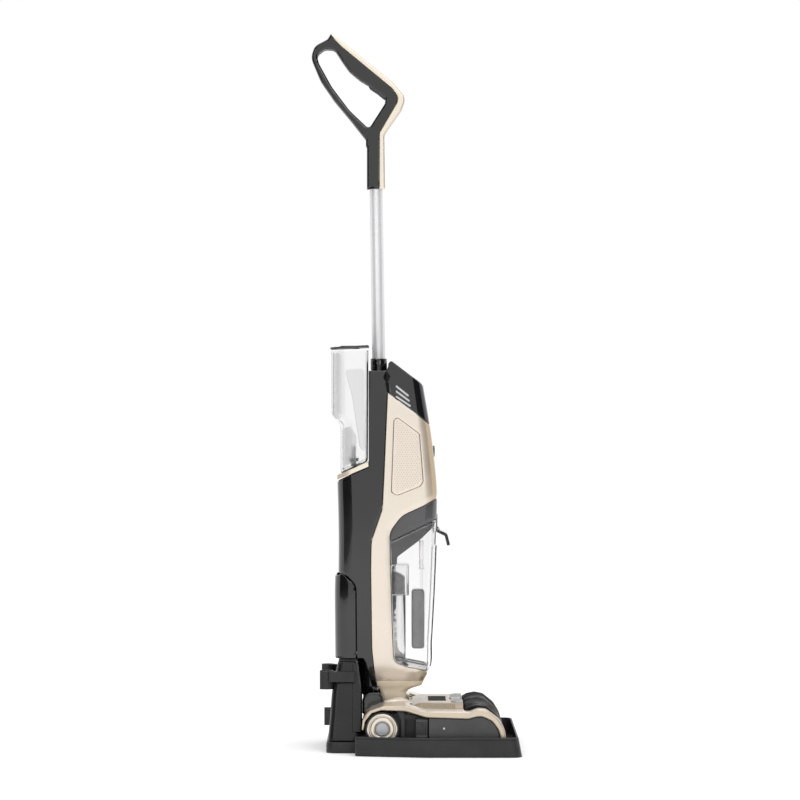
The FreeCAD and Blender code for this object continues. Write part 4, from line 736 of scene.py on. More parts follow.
def round_front(points):
    """Side view points (x, z) as (distance round the form, z).

    Where they pass the front, they cross the middle.
    """
    wrapped = []
    beyond = [p[0] >= UPRIGHT.at(p[1])[1] for p in points]
    for i, (x, z) in enumerate((p[0], p[1]) for p in points):
        if not beyond[i]:
            wrapped.append((UPRIGHT.reach(x, z), z))
        neighbour = i + 1
        if neighbour < len(points) and beyond[i] != beyond[neighbour]:
            near, far = Vector(points[i][:2]), Vector(points[neighbour][:2])
            for _ in range(20):
                middle = (near + far) / 2
                if (middle.x >= UPRIGHT.at(middle.y)[1]) == beyond[i]:
                    near = middle
                else:
                    far = middle
            rim = UPRIGHT.reach(UPRIGHT.at(near.y)[1], near.y)
            crossing = [(rim * k / 6, near.y) for k in range(7)]
            wrapped.extend(crossing if beyond[i] else crossing[::-1])
    return [Vector(p) for p in wrapped]


def both_sides(half):
    """A closed loop from its left half, which runs from the middle plane back to it."""
    return half + [Vector((-p.x, p.y)) for p in half[::-1] if p.x > 1e-6]


def round_rear(points, form=UPRIGHT):
    """A closed loop in (distance from the middle of the rear, z) from side view points, top to bottom."""
    half = []
    for p in points:
        rear = form.at(p[1])[0]
        half.append(Vector((form.half_round(p[1]) - form.reach(max(p[0], rear + 0.3), p[1]), p[1])))
    above = [Vector((half[0].x * k / 8, half[0].y)) for k in range(8)]
    below = [Vector((half[-1].x * k / 8, half[-1].y)) for k in range(7, -1, -1)]
    return both_sides(above + half + below)


def shifted(points, dx, dz=0.0):
    return [Vector((p[0] + dx, p[1] + dz)) for p in points]


def offset(points, gap):
    """An open run of points moved to its left by gap."""
    moved = []
    for i, p in enumerate(points):
        way = (points[min(i + 1, len(points) - 1)] - points[max(i - 1, 0)]).normalized()
        moved.append(p + Vector((-way.y, way.x)) * gap)
    return moved


def joined(*runs):
    """One run of points from several, without doubled ends."""
    made = []
    for run in runs:
        for p in run:
            point = Vector(p[:2])
            if not made or (point - made[-1]).length > 0.3:
                made.append(point)
    return made


def level_run(x_from, x_to, z, step=3.0):
    count = max(1, round(abs(x_to - x_from) / step))
    return [Vector((x_from + (x_to - x_from) * k / count, z)) for k in range(count + 1)]


def within(points, margin):
    """The stretch of a side view line that stays inside the upright's front and rear by margin."""
    return [p for p in points if UPRIGHT.at(p[1])[0] + margin < p[0] < UPRIGHT.at(p[1])[1] - margin]


class Ribbon:
    """A surface that follows a side view line across the machine: t runs along the line, y across."""

    def __init__(self, line, lift=0.0):
        self.points = [Vector(p[:2]) for p in line]
        self.lift = lift
        self.lengths = [0.0]
        for a, b in zip(self.points, self.points[1:]):
            self.lengths.append(self.lengths[-1] + (b - a).length)

    def on_line(self, t):
        last = len(self.points) - 2
        i = min(max(int(np.searchsorted(self.lengths, t)) - 1, 0), last)
        share = (t - self.lengths[i]) / max(self.lengths[i + 1] - self.lengths[i], 1e-9)
        here, following = self.points[i], self.points[i + 1]
        before, after = self.points[max(i - 1, 0)], self.points[min(i + 2, last + 1)]
        start_way = (following - before).normalized()
        end_way = (after - here).normalized()
        way = start_way.lerp(end_way, min(max(share, 0.0), 1.0)).normalized()
        return here.lerp(following, share), Vector((-way.y, way.x))

    def place(self, t, y, depth):
        spot, normal = self.on_line(t)
        spot = spot - normal * (depth - self.lift)
        return (spot.x, y, spot.y)

    def t_at(self, x):
        """Distance along the line to the first point at x."""
        for i, (a, b) in enumerate(zip(self.points, self.points[1:])):
            if min(a.x, b.x) <= x <= max(a.x, b.x) and a.x != b.x:
                return self.lengths[i] + (b - a).length * (x - a.x) / (b.x - a.x)
        return self.lengths[-1]

    def band(self, half_width, start=0.0, end=None):
        """A closed outline in (t, y) of the stretch from start to end, half_width(x, z) to each side."""
        end = self.lengths[-1] if end is None else end
        count = max(2, round((end - start) / 3.0))
        side = []
        for k in range(count + 1):
            t = start + (end - start) * k / count
            spot, _ = self.on_line(t)
            side.append(Vector((t, half_width(spot.x, spot.y))))
        other = [Vector((p.x, -p.y)) for p in side[::-1]]
        return with_ends(side, other)


def with_ends(side, other):
    """Two facing runs of points closed into one loop, with points along the closing edges."""
    outline = list(side)
    for a, b, run in ((side[-1], other[0], other), (other[-1], side[0], [])):
        count = max(2, round((a - b).length / 4))
        outline += [a.lerp(b, k / count) for k in range(1, count)]
        outline += run
    return outline


def inside_width(margin):
    """Half width function of a plate that stays inside the upright's sides by margin."""
    return lambda x, z: UPRIGHT.width_at(x, z) - margin


def bent_plate(name, line, lift, thick, half_width, edge, grid=5.0, holes=(), **more):
    """A plate that follows a side view line across the machine, half_width(x, z) to each side."""
    ribbon = Ribbon(line, lift)
    return plate(name, ribbon.band(half_width), ribbon.place, thick, edge, holes, grid, **more)


def make_front_shell():
    """Gold front: brow, sides and cup in one moulding, with the tank bay and the two grilles left open."""
    seam = rounded(SEAM, closed=False)
    head = rounded(HEAD_EDGE, closed=False)
    cup_low = 104.0
    cup = joined(rounded([(-40.5, 124.0), (-37.2, cup_low)], closed=False), level_run(-37.2, 60.0, cup_low))
    outer = both_sides(round_front(joined(head, shifted(seam, GAP), cup)))
    bay = rounded(BAY, closed=False)
    side_hole = [Vector((UPRIGHT.reach(p.x, p.y), p.y)) for p in rounded(GRILLE)]
    other_hole = [Vector((-p.x, p.y)) for p in side_hole]
    holes = [both_sides(round_front(bay)), side_hole, other_hole]
    rim = as_loops(holes[0])

    def lip(points):
        return 1.4 * (1 - smooth(distances(points, rim), 0.5, 5.5))

    shell = plate("front_shell", outer, UPRIGHT.point, 3.9, 1.1, holes, 5.0, crown=lip)
    dress(shell, "upright", "gold_paint", replaces=["front_housing"])
    wall = bent_plate("bay_wall", within(shifted(bay, -0.6), 2.6), -0.3, 1.6, inside_width(2.6), 0.3)
    dress(wall, "upright", "gold_paint")


def make_grilles():
    """Grille panes set a little into the sides, each with staggered rows of small flat dark discs painted on
    as the shade of holes.
    """
    middle = sum((Vector(corner[:2]) for corner in GRILLE), Vector((0, 0))) / len(GRILLE)
    outline = [middle + (p - middle) * 0.99 for p in rounded(GRILLE)]
    column_pitch, row_pitch, hole_disc_radius = 4.0, 3.5, 0.68
    xs = np.arange(-16.0, 40.0, column_pitch)
    zs = np.arange(402.0, 529.0, row_pitch)
    spots = np.array([(x + (column_pitch / 2 if j % 2 else 0.0), z) for j, z in enumerate(zs) for x in xs])
    spots = spots[inside(spots, as_loops(outline))]
    spots = spots[distances(spots, as_loops(outline)) > 3.4]
    for side, label in SIDES:

        def place(u, v, d, side=side):
            return UPRIGHT.point(side * UPRIGHT.reach(u, v), v, d + 0.3)

        pane = plate(f"grille_pane_{label}", outline, place, 2.0, 0.8, grid=6.0)
        dress(pane, "upright", "gold_trim", "gold_paint", replaces=["side_grilles"] if side > 0 else ())
        # each hole is a flat dark disc just proud of the pane: painted shade in place of the hole's dark
        # inside
        verts, polygons = [], []
        for x, z in spots:
            first = len(verts)
            for k in range(8):
                turn = math.tau * (k + 0.5) / 8
                verts.append(place(x + hole_disc_radius * math.cos(turn), z + hole_disc_radius * math.sin(turn), -0.03))
            polygons.append(tuple(range(first, first + 8))[::-1 if side > 0 else 1])
        painted_holes = mesh_object(f"grille_painted_holes_{label}", verts, polygons)
        dress(painted_holes, "upright", "gold_trim", "gold_shade")


def tube_lean(z):
    """Distance of the tube's axis from the middle of the machine: it leans back a little as it rises."""
    return -34.0 - (z - 615.0) * 0.0155


def make_tube():
    """Bright handle tube and the black collar it stands in."""
    tube_profile = [(9.3, 562.0), (9.3, 905.0), (10.4, 905.0), (10.4, 562.0)]
    tube = spun("tube_shell", tube_profile, (0, 0, 0), around=96)
    collar_profile = [(10.5, 601.4), (12.5, 601.4), (13.1, 602.1), (13.2, 616.6), (12.9, 617.2),
                      (12.9, 618.0), (13.2, 618.6), (13.1, 620.0), (12.6, 620.6), (10.5, 620.6)]
    collar = spun("collar_shell", collar_profile, (0, 0, 0), around=96)
    for made in (tube, collar):
        for vert in made.data.vertices:
            vert.co.x += tube_lean(vert.co.z / MM) * MM
    dress(tube, "upright", "tube_metal", replaces=["handle_tube"])
    dress(collar, "upright", "black_gloss", replaces=["tube_collar"])


def make_rear_shell():
    """Gloss black rear: from the parting line round the rear, over the battery and behind the tank."""
    seam = shifted(rounded(SEAM, closed=False), -GAP)
    back_of_tank = rounded([(-101.5, 424.5), (-49.5, 448.0), (-49.5, 600.5), (-22.8, 600.5)], closed=False)
    over_battery = rounded([(-40.5 - GAP, 124.0), (-34.5, 92.0, 6), (-43.0, 92.0, 8), (-54.0, 139.0, 10),
                            (-58.0, 146.0, 3), (-67.9, 146.0), (-68.9, 262.8, 21), (-84.0, 277.0, 6),
                            (-101.0, 282.0)], closed=False)
    side = joined(back_of_tank, [(-21.5, 583.0)], seam, over_battery)
    shell = plate("rear_shell", round_rear(side), UPRIGHT.from_rear, SHELL, 0.9, grid=5.0)
    dress(shell, "upright", "black_gloss", replaces=["rear_housing"])
    width = UPRIGHT.at(520)[2]
    back = rounded([(-width, 446.0), (width, 446.0), (width - 2, 600.5), (-width + 2, 600.5)])
    wall = plate("tank_backrest", back, lambda y, z, d: (-49.5 + d, y, z), 2.0, 1.2, grid=8.0)
    dress(wall, "upright", "black_gloss")
    width = UPRIGHT.at(600)[2] - 0.5
    lid = rectangle((-49.5, -width), (-21.5, width), 0.0)
    socket = rounded(circle(-36.2, 0.0, 13.6, 24))
    cap = plate("rear_top", lid, at_level(600.7), 2.0, 1.0, [socket], 8.0)
    dress(cap, "upright", "black_gloss")


def make_joint_lining():
    """Dark lining behind the joint between the rear housing's top and the head."""
    strip = rounded([(-27.0, 566.0, 2), (-27.0, 599.5, 2), (-16.0, 606.0, 3), (-16.0, 566.0, 2)])
    for side, label in SIDES:
        lining = plate(f"joint_lining_{label}", strip, beside(side, 59.0), 2.0, 0.4, grid=6.0)
        dress(lining, "upright", "black_satin")


def make_tail():
    """Glossy curved cover behind the neck, and the chin that closes the housing over it."""
    tail = column("rear_tail", TAIL, TAIL.heights[0], TAIL.heights[-1], 3.0)
    dress(tail, "upright", "black_gloss")
    line = rounded([(-67.9, 146.4), (-58.0, 146.4, 3), (-54.0, 139.0, 10), (-43.0, 92.0, 8), (-34.5, 92.0)],
                   closed=False)
    chin = bent_plate("rear_chin", line[::-1], 0.0, 1.8, inside_width(2.0), 0.6)
    dress(chin, "upright", "black_gloss")


def make_battery():
    """Battery pack: a rounded block under its parting line."""
    line = rounded([(-100.0, 276.5), (-93.0, 280.6, 10), (-69.6, 262.0, 20), (-69.2, 145.6, 2),
                    (-100.0, 145.6)], closed=False)
    outline = round_rear(line, BATTERY_FORM)
    shell = plate("battery_shell", outline, BATTERY_FORM.from_rear, 2.2, 1.6, grid=5.0)
    dress(shell, "upright", "black_gloss", replaces=["battery_pack"])
    base = rounded([(-102.0, -61.0, 24), (-69.6, -61.0, 2), (-69.6, 61.0, 2), (-102.0, 61.0, 24)])
    foot = plate("battery_base", base, lambda x, y, d: (x, y, 145.8 + d), 2.0, 0.8, grid=6.0)
    dress(foot, "upright", "black_satin")


def make_top_cover():
    """Gloss black head: wrapped sides with slanted vents, and the sloping control panel between them."""
    crest = rounded([(-22.0, 601.2), (-19.4, 603.5, 1), (-18.2, 612.5, 2), (-14.0, 617.0, 3),
                     (34.7, 579.8, 6), (75.0, 549.0)], closed=False)
    head = shifted(rounded(HEAD_EDGE, closed=False), 0.0, 0.5)
    rear = [Vector((-19.3, 566.3)), Vector((-20.6, 583.0))]
    outer = both_sides(round_front(joined(crest[::-1], rear[::-1], head[::-1])))
    vents = []
    for i in range(3):
        start = Vector((-6.6, 577.0 - 8.3 * i))
        end = Vector((13.7 + 1.6 * i, 560.7 - 8.1 * i))
        normal = Vector((start.y - end.y, end.x - start.x)).normalized() * 1.3
        slot = rounded([(*(start + normal), 1.2), (*(end + normal), 1.2), (*(end - normal), 1.2),
                        (*(start - normal), 1.2)])
        vents.append([Vector((UPRIGHT.reach(p.x, p.y), p.y)) for p in slot])
        vents.append([Vector((-p.x, p.y)) for p in vents[-1]])
    shell = plate("head_shell", outer, UPRIGHT.point, SHELL, 1.6, vents, 5.0, rings=4)
    dress(shell, "upright", "black_gloss", replaces=["top_cover"])
    for side, label in SIDES:
        lining = rounded([(-10, 583, 2), (24, 558, 2), (24, 536, 2), (-10, 560, 2)])
        vent = plate(f"vent_lining_{label}", lining,
                     lambda u, v, d, side=side: UPRIGHT.point(side * UPRIGHT.reach(u, v), v, d + 1.5),
                     0.8, 0.2, grid=6.0, rings=1)
        dress(vent, "upright", "light_grey")
    line = rounded([(-21.8, 600.9), (-19.4, 603.5, 1), (-18.2, 612.5, 2), (-14.0, 617.0, 3), (36.2, 578.7)],
                   closed=False, step=2.0)
    roof = bent_plate("panel_roof", line, 0.0, SHELL, inside_width(0.2), 1.6)
    dress(roof, "upright", "black_gloss")


# ---------------------------------------------------------------- dirty water tank
PIPE_X = -0.5


def bay_runs():
    """The tank's side view edge inside the bay: its roof run, then its back and foot run."""
    edge = offset(rounded(BAY, closed=False), 0.55)
    turn = next(i for i, p in enumerate(edge) if p.y < LID_SEAM[0][1])
    return edge[:turn], edge[turn:]


def make_dirty_tank():
    """Clear tank flush with the gold front, its black lid, and the grey skirt seen through it."""
    roof, back_and_foot = bay_runs()
    seam = rounded([(-16.1, 331.3), LID_SEAM[1]], closed=False)
    vessel_edge = joined(shifted(seam, 0.0, -0.3)[::-1], back_and_foot)
    vessel = plate("tank_vessel", both_sides(round_front(vessel_edge)), UPRIGHT.point, 2.2, 1.0, grid=5.0)
    dress(vessel, "dirty_tank", "clear_tank", replaces=["dirty_tank"])
    inner_line = within(offset(back_and_foot, 0.1), 2.4)
    rear = bent_plate("tank_rear", inner_line, 0.0, 2.0, inside_width(2.3), 0.6)
    dress(rear, "dirty_tank", "clear_tank")
    lid = plate("lid_band", both_sides(round_front(joined(roof, seam))), UPRIGHT.point, 2.6, 1.0, grid=5.0)
    dress(lid, "dirty_tank", "black_gloss", "lid_black", replaces=["dirty_tank_lid"])
    lid_top = bent_plate("lid_top", within(roof, 2.6), 0.0, 2.0, inside_width(2.7), 0.5)
    dress(lid_top, "dirty_tank", "black_satin")
    floor_line = within(rounded([(-14.0, 329.4), (75.0, 371.9)], closed=False), 3.0)
    lid_floor = bent_plate("lid_floor", floor_line, 0.0, 1.8, inside_width(3.0), 0.4)
    dress(lid_floor, "dirty_tank", "mid_grey")
    spine = rounded([(-5.0, 128.5, 3), (5.0, 128.5, 3), (5.0, 322.0, 4), (-5.0, 322.0, 4)])
    rib = plate("tank_spine", spine, UPRIGHT.point_in(-2.2), 4.6, 0.4, grid=3.0)
    dress(rib, "dirty_tank", "black_gloss", "plaque")
    make_skirt()
    make_standpipe()
    make_separator()
    make_float()
    make_latch()


def make_skirt():
    """Grey skirt of the lid, seen through the tank's clear front, with a leg at its rear."""
    outline = rounded([(75.0, 371.0), (-13.4, 328.6), (-13.4, 294.0, 1), (-5.0, 294.0, 3), (-4.4, 306.5, 6),
                       (28.4, 331.0, 12), (56.0, 354.6, 10), (75.0, 362.0)], closed=False)
    skirt = plate("lid_skirt", both_sides(round_front(outline)), UPRIGHT.point_in(2.9), 1.8, 0.7, grid=4.0)
    dress(skirt, "dirty_tank", "dark_grey")


def make_standpipe():
    """Pipe that carries the dirty water up into the tank, through a slotted pad over the tank's floor."""
    bore, radius = 7.9, 9.5
    profile = [(bore, 132.0), (bore, 243.0), (bore + 0.5, 243.8), (radius - 0.5, 243.8), (radius, 243.0),
               (radius, 140.0), (radius + 1.2, 135.5), (radius + 5.0, 132.6), (radius + 5.0, 132.0)]
    pipe = spun("standpipe", profile, (PIPE_X, 0, 0), around=48)
    dress(pipe, "dirty_tank", "clear_tank", "tank_inner")
    strainer = rounded([(-8.0, -26.0, 8), (44.0, -26.0, 12), (44.0, 26.0, 12), (-8.0, 26.0, 8)])
    slots = [rectangle((x, -18), (x + 1.7, 18), 0.8) for x in range(14, 40, 4)]
    slots.append(circle(PIPE_X, 0.0, 10.2, 24))
    pad = plate("tank_strainer", strainer, lambda x, y, d: (x, y, 141.6 - 0.19 * x - d), 2.2, 0.7, slots, 3.0)
    dress(pad, "dirty_tank", "mid_grey")


def drawn_in(point, middle, depth):
    """A plan point moved towards the middle by depth on each axis."""
    away = Vector(point) - middle
    return (point.x - math.copysign(min(depth, abs(away.x)), away.x),
            point.y - math.copysign(min(depth, abs(away.y)), away.y))


def make_separator():
    """Clear cage over the standpipe, with its grey filter block inside."""
    ring = rectangle((-10.8, -24.0), (14.2, 24.0), 3, step=3.0)
    middle = Vector((1.7, 0.0))
    levels = [(243.0, 0.5), (243.4, 0.12), (244.4, 0.0), (268.0, 0.0), (290.4, 0.0), (290.8, -0.7),
              (292.6, -0.7), (292.8, -0.3), (292.8, 1.4), (290.0, 1.5), (246.0, 1.5), (244.6, 2.2)]
    rings = [[(*drawn_in(p, middle, depth), z) for p in ring] for z, depth in levels]
    cage = skin("separator_cage", rings)
    dress(cage, "dirty_tank", "clear_tank", "tank_inner", replaces=["separator"])
    core_ring = rectangle((-8.6, -19.0), (8.0, 19.0), 4, step=3.0)
    levels = [(246.0, 1.2), (246.0, 0.4), (246.8, 0.0)]
    for k in range(5):
        z = 247.0 + 4.4 * k
        levels += [(z, 0.0), (z + 2.6, 0.0), (z + 2.9, 1.1), (z + 4.1, 1.1)]
    levels += [(269.6, 0.0), (270.6, 0.9)]
    rings = [[drawn_in(p, Vector((-0.3, 0.0)), depth) for p in core_ring] for _, depth in levels]
    rings = [[(x, y, z + (8.0 - x) * 0.55 * (z - 246.0) / 24.0) for x, y in ring]
             for ring, (z, _) in zip(rings, levels)]
    block = skin("separator_filter", rings)
    dress(block, "dirty_tank", "mid_grey")
    profile = [(2.3, 284.0), (2.3, 330.0), (3.6, 330.0), (3.6, 290.0), (5.0, 286.0), (5.0, 284.0)]
    sleeve = spun("float_guide", profile, (34.0, 0, 0), around=32)
    dress(sleeve, "dirty_tank", "clear_tank", "tank_inner")


def make_float():
    """Float: a grey bar with a rounded face and a moulded recess, on a thin stem."""
    outline = rectangle((18.4, 158.0), (39.6, 251.8), 5)
    recess = as_loops(rectangle((25.0, 186.0), (33.0, 232.0), 3))
    for side, label in SIDES:
        half = plate(f"float_{label}", outline, beside(side, 17.0), 16.9, 3.0, grid=3.0, back_edge=0.5,
                     crown=lambda p: np.where(inside(p, recess), 0.8, 0.0))
        dress(half, "float", "mid_grey", replaces=["float"] if side > 0 else ())
    stem = spun("float_stem", [(0.01, 250.0), (2.2, 250.0), (2.2, 299.4), (1.6, 300.0), (0.01, 300.0)],
                (34.0, 0, 0), around=24)
    dress(stem, "float", "light_grey", "tank_inner")


def make_latch():
    """Tank latch: a bent lever with a rolled lip, ribbed under the thumb."""
    line = rounded([(59.6, 374.0), (59.6, 349.0, 7), (75.4, 341.6, 6), (79.9, 323.6)], closed=False, step=1.5)
    ribbon = Ribbon(line)
    total = ribbon.lengths[-1]

    def width(x, z):
        return 27.5 if z > 345 else 26.0

    def ribs(points):
        t = points[:, 0]
        near = (t > total - 15.0) & (t < total - 3.0) & (np.abs(points[:, 1]) < 20.0)
        return np.where(near, 0.35 * (1 - np.cos((t - total) * math.tau / 2.6)), 0.0)

    lever = plate("latch_lever", ribbon.band(width), ribbon.place, 5.0, 2.0, grid=1.3, back_edge=1.6,
                  crown=ribs)
    dress(lever, "tank_latch", "black_gloss", replaces=["tank_latch"])
    pin_profile = [(0.01, -31.5), (1.1, -31.5), (1.5, -31.0), (1.5, 31.0), (1.1, 31.5), (0.01, 31.5)]
    pin = spun("latch_pin", pin_profile, (60.8, 0, 349.3), "y", 20)
    dress(pin, "tank_latch", "motor_metal")
    for side, label in SIDES:
        ear = rounded([(53.0, 343.0, 1), (62.0, 345.4, 3), (63.4, 351.4, 2), (57.0, 353.4, 2),
                       (53.0, 352.0, 1)])
        lug = plate(f"latch_ear_{label}", ear, beside(side, 31.8), 3.2, 0.6, grid=3.0, back_edge=0.6)
        dress(lug, "dirty_tank", "clear_tank", "tank_inner")


# ---------------------------------------------------------------- clean water tank
CLEAN_FORM = Form([
    (438.5, -94.2, -50.9, 60, 22, 5),
    (500, -94.3, -50.7, 60, 22, 5),
    (511, -94.4, -50.6, 60, 22, 5),
    (515, -94.9, -50.6, 60, 22, 5),
    (518, -96.8, -50.6, 60, 23, 5),
    (523, -101.9, -50.6, 60, 24, 5),
    (528, -106.8, -50.5, 60, 25, 5),
    (531, -108.3, -50.5, 60, 25, 5),
    (535, -108.7, -50.5, 60, 25, 5),
    (545, -108.8, -50.4, 60, 25, 5),
    (580, -108.9, -50.3, 60, 25, 5),
    (633.4, -109.3, -50.2, 60, 25, 5),
])


def sill(x):
    """Height of the gold sill that the clean tank stands on."""
    return 434.6 + (x + 101.5) * (455.6 - 434.4) / 47.5


def make_clean_tank():
    """Clear tank with a stepped back: outer and inner skins joined over the rim, on a sloping floor."""
    around_count, base_level, rim_level = 96, 460, 633.2
    heights = [0.0, 0.012, 0.03] + [0.06 + 0.94 * k / 44 for k in range(45)]

    def ring(depth, share):
        made = []
        for k in range(around_count):
            turn = (k + 0.5) / around_count - 0.5
            base = CLEAN_FORM.point(turn * 2 * CLEAN_FORM.half_round(base_level), base_level, depth)
            floor = sill(base[0]) + depth + 0.4
            z = floor + (rim_level - floor) * share
            drawn = 1.2 if share == 0.0 else 0.35 if share < 0.02 else 0.0
            made.append(CLEAN_FORM.point(turn * 2 * CLEAN_FORM.half_round(z), z, depth + drawn))
        return made

    outer = [ring(0.0, share) for share in heights]
    inner = [ring(2.0, share) for share in heights[::-1]]
    shell = skin("clean_vessel", outer + inner)
    dress(shell, "clean_tank", "clear_tank", replaces=["clean_tank"])
    make_clean_insides()
    make_clean_lid()


def make_clean_insides():
    """Moulded details of the clean tank: filling chutes, stiffeners, and the valve in its well."""
    chute = [(-106.4, 629.0, 2), (-95.5, 629.0, 2), (-95.5, 521.0, 4), (-106.4, 532.0, 3)]
    stiffener = [(-88.0, 604.0, 6), (-58.0, 604.0, 3), (-55.0, 470.0, 3), (-64.0, 480.0, 8),
                 (-76.0, 560.0, 30)]
    for side, label in SIDES:
        for k, web in enumerate((chute, stiffener)):
            rib = plate(f"chute_{label}_{k}", rounded(web), beside(side, 47.0 - 9.0 * k), 1.6, 0.6, grid=5.0,
                        back_edge=0.5)
            dress(rib, "clean_tank", "clear_tank", "tank_frost" if k == 0 else "tank_inner")
    well = rounded([(-92.0, 447.0, 3), (-70.0, 457.0, 3), (-70.0, 498.0, 10), (-79.0, 512.0, 6),
                    (-92.0, 508.0, 5)])
    for side, label in SIDES:
        wall = plate(f"well_{label}", well, beside(side, 30.0), 1.6, 0.6, grid=5.0, back_edge=0.5)
        dress(wall, "clean_tank", "light_grey", "tank_frost")
    stem = [(4.2, 452.0), (4.2, 459.0), (8.0, 459.2), (8.4, 460.0), (8.0, 461.8), (3.0, 462.4),
            (3.0, 480.0), (1.0, 481.0), (0.01, 481.0), (0.01, 452.0)]
    valve = spun("tank_valve_stem", stem, (-74.0, 0, 0), around=32)
    dress(valve, "clean_tank", "light_grey")


def make_clean_lid():
    """Black lid with a raised rim and a thin overhang, and the fluted cap in its mouth."""
    rim = rounded([(-110.9, -60.4, 25), (-49.7, -60.4, 5), (-49.7, 60.4, 5), (-110.9, 60.4, 25)])
    cap_x, cap_radius = -80.0, 16.0
    mouth = circle(cap_x, 0.0, cap_radius + 0.6, 48)

    def top(x, y, d):
        return (x, y, 638.1 + (x + 111.0) * 0.056 - d)

    lid = plate("clean_lid", rim, top, 2.9, 1.2, [mouth], 5.0, back_edge=0.6,
                crown=lambda p: np.where(distances(p, as_loops(rim)) > 5.0, 0.7, 0.0))
    dress(lid, "clean_tank", "black_satin", replaces=["clean_tank_lid"])
    flutes = 30
    profile = [(0.01, 641.0), (11.5, 641.0), (12.0, 640.4), (12.8, 640.4), (13.4, 641.2), (14.6, 641.2),
               (15.9, 640.6), (cap_radius, 639.8), (cap_radius, 637.0), (15.6, 636.4), (14.8, 636.2),
               (0.01, 636.2)]
    cap = spun("clean_cap", profile, (cap_x, 0, 0), around=flutes * 4)
    for vert in cap.data.vertices:
        away = Vector((vert.co.x / MM - cap_x, vert.co.y / MM))
        if away.length > cap_radius - 0.5:
            turn = math.atan2(away.y, away.x)
            pull = 1 - 0.018 * (1 - math.cos(turn * flutes))
            vert.co.x = (cap_x + away.x * pull) * MM
            vert.co.y = away.y * pull * MM
    dress(cap, "clean_tank_cap", "black_satin", replaces=["clean_tank_cap"])


# ---------------------------------------------------------------- handle
HANDLE_FRONT = [(-109.8, 1139.5, 1), (-100.0, 1133.0, 8), (-13.1, 1063.0, 30), (9.5, 1037.0, 16),
                (2.0, 1017.0, 14), (-25.0, 978.5, 12), (-24.0, 891.6)]
HANDLE_REAR = [(-52.9, 891.6), (-52.9, 957.5), (-54.6, 960.5, 1), (-54.6, 970.0, 3), (-77.3, 999.0, 60),
               (-105.0, 1032.1, 60), (-127.0, 1064.0, 60), (-142.5, 1101.0, 22), (-136.2, 1119.5, 16),
               (-115.5, 1130.5, 10)]
HOLE_LOW = [(-23.5, 1037.0, 1), (-24.0, 1028.0, 6), (-49.8, 987.5, 5), (-81.0, 1017.4, 60),
            (-108.6, 1054.2, 60), (-129.5, 1092.0, 30), (-132.5, 1105.0, 9), (-120.0, 1114.8, 10),
            (-104.5, 1113.9, 10), (-92.0, 1094.5, 30), (-80.5, 1078.5, 30), (-62.0, 1063.5, 20)]
TRIM_EDGE = [(-104.5, 1129.0, 8), (-95.0, 1119.5, 20), (-13.1, 1052.0, 20), (-1.5, 1035.5, 14),
             (-33.3, 981.0, 10)]
TIP = (-110.7, 1138.1)
HALF_HANDLE = 15.0


def make_handle():
    """Loop handle: black grip in two outer halves and a slotted core, with a gold strip along its front."""
    hole = rounded(HOLE_LOW + [(-49.8, 1056.9, 2)])
    whole = rounded([TIP] + HANDLE_FRONT[1:] + HANDLE_REAR)
    rim = (as_loops(whole, [hole]), 3.6)
    edge = shifted(rounded([TIP] + TRIM_EDGE + [(-33.6, 891.6)], closed=False), -0.2)
    dark = joined(edge, rounded(HANDLE_REAR, closed=False))
    trim = rounded([TIP] + HANDLE_FRONT + [(-33.4, 891.6)] + TRIM_EDGE[::-1])
    slot = rounded(HOLE_LOW + [(-56.0, 1060.4), (-47.0, 1068.4, 3), (-19.4, 1048.8, 3), (-13.6, 1039.2, 3),
                               (-20.8, 1031.0, 2)])
    for side, label in SIDES:
        names = ["handle_shell_left", "handle_shell_right"] if side > 0 else []
        grip = plate(f"grip_{label}", dark, beside(side, HALF_HANDLE), 7.9, 0.5, [hole], 2.4, soft=rim)
        dress(grip, "upright", "black_gloss", replaces=names)
        strip = plate(f"trim_{label}", trim, beside(side, HALF_HANDLE), 14.9, 2.4, grid=2.4, rings=6)
        dress(strip, "upright", "gold_trim", replaces=["handle_trim"] if side > 0 else ())
    core = plate("grip_core", dark, beside(1.0, 7.0), 14.0, 0.3, [slot], 5.0, back_edge=0.3)
    dress(core, "upright", "black_satin")
    lever_edge = rounded([(-50.5, 1056.0, 1), (-47.5, 1051.2, 1.5), (-36.0, 1043.5, 12), (-24.6, 1034.2, 1),
                          (-20.0, 1038.5, 3), (-25.0, 1046.0, 3), (-46.0, 1061.5, 2)], step=1.0)
    lever_rim = (as_loops(lever_edge), 2.2)
    for side, label in SIDES:
        lever = plate(f"trigger_{label}", lever_edge, beside(side, 6.5), 6.45, 0.4, grid=1.5, soft=lever_rim)
        dress(lever, "trigger", "dark_grey", replaces=["trigger"] if side > 0 else ())


# ---------------------------------------------------------------- foot
COVER_TOP = [(-59.5, 40.0), (-58.6, 55.0, 12), (-50.0, 69.0, 14), (-28.0, 77.0, 20), (8.0, 78.8, 20),
             (22.0, 75.0, 20), (38.8, 70.4, 16), (108.0, 69.4, 14), (121.0, 74.2, 12), (134.0, 73.2, 14),
             (153.0, 59.0, 30), (163.5, 42.0, 30), (165.0, 26.0)]
COVER_LOW = [(156.5, 26.0), (154.0, 40.5, 26), (143.5, 55.0, 14), (128.3, 62.3, 12), (119.6, 61.9, 8),
             (106.6, 58.4, 12), (41.2, 60.6, 16), (8.4, 69.6, 10), (-8.0, 69.9, 6), (-30.0, 70.8, 8),
             (-44.0, 66.0, 8), (-54.0, 54.0, 8), (-56.6, 40.0)]
PANEL_EDGE = [(45.0, 18.0, 3), (45.0, 59.6, 2), (106.6, 57.6, 10), (119.6, 61.0, 8), (128.3, 61.4, 12),
              (143.5, 54.2, 14), (153.2, 40.5, 26), (155.6, 18.0, 3)]
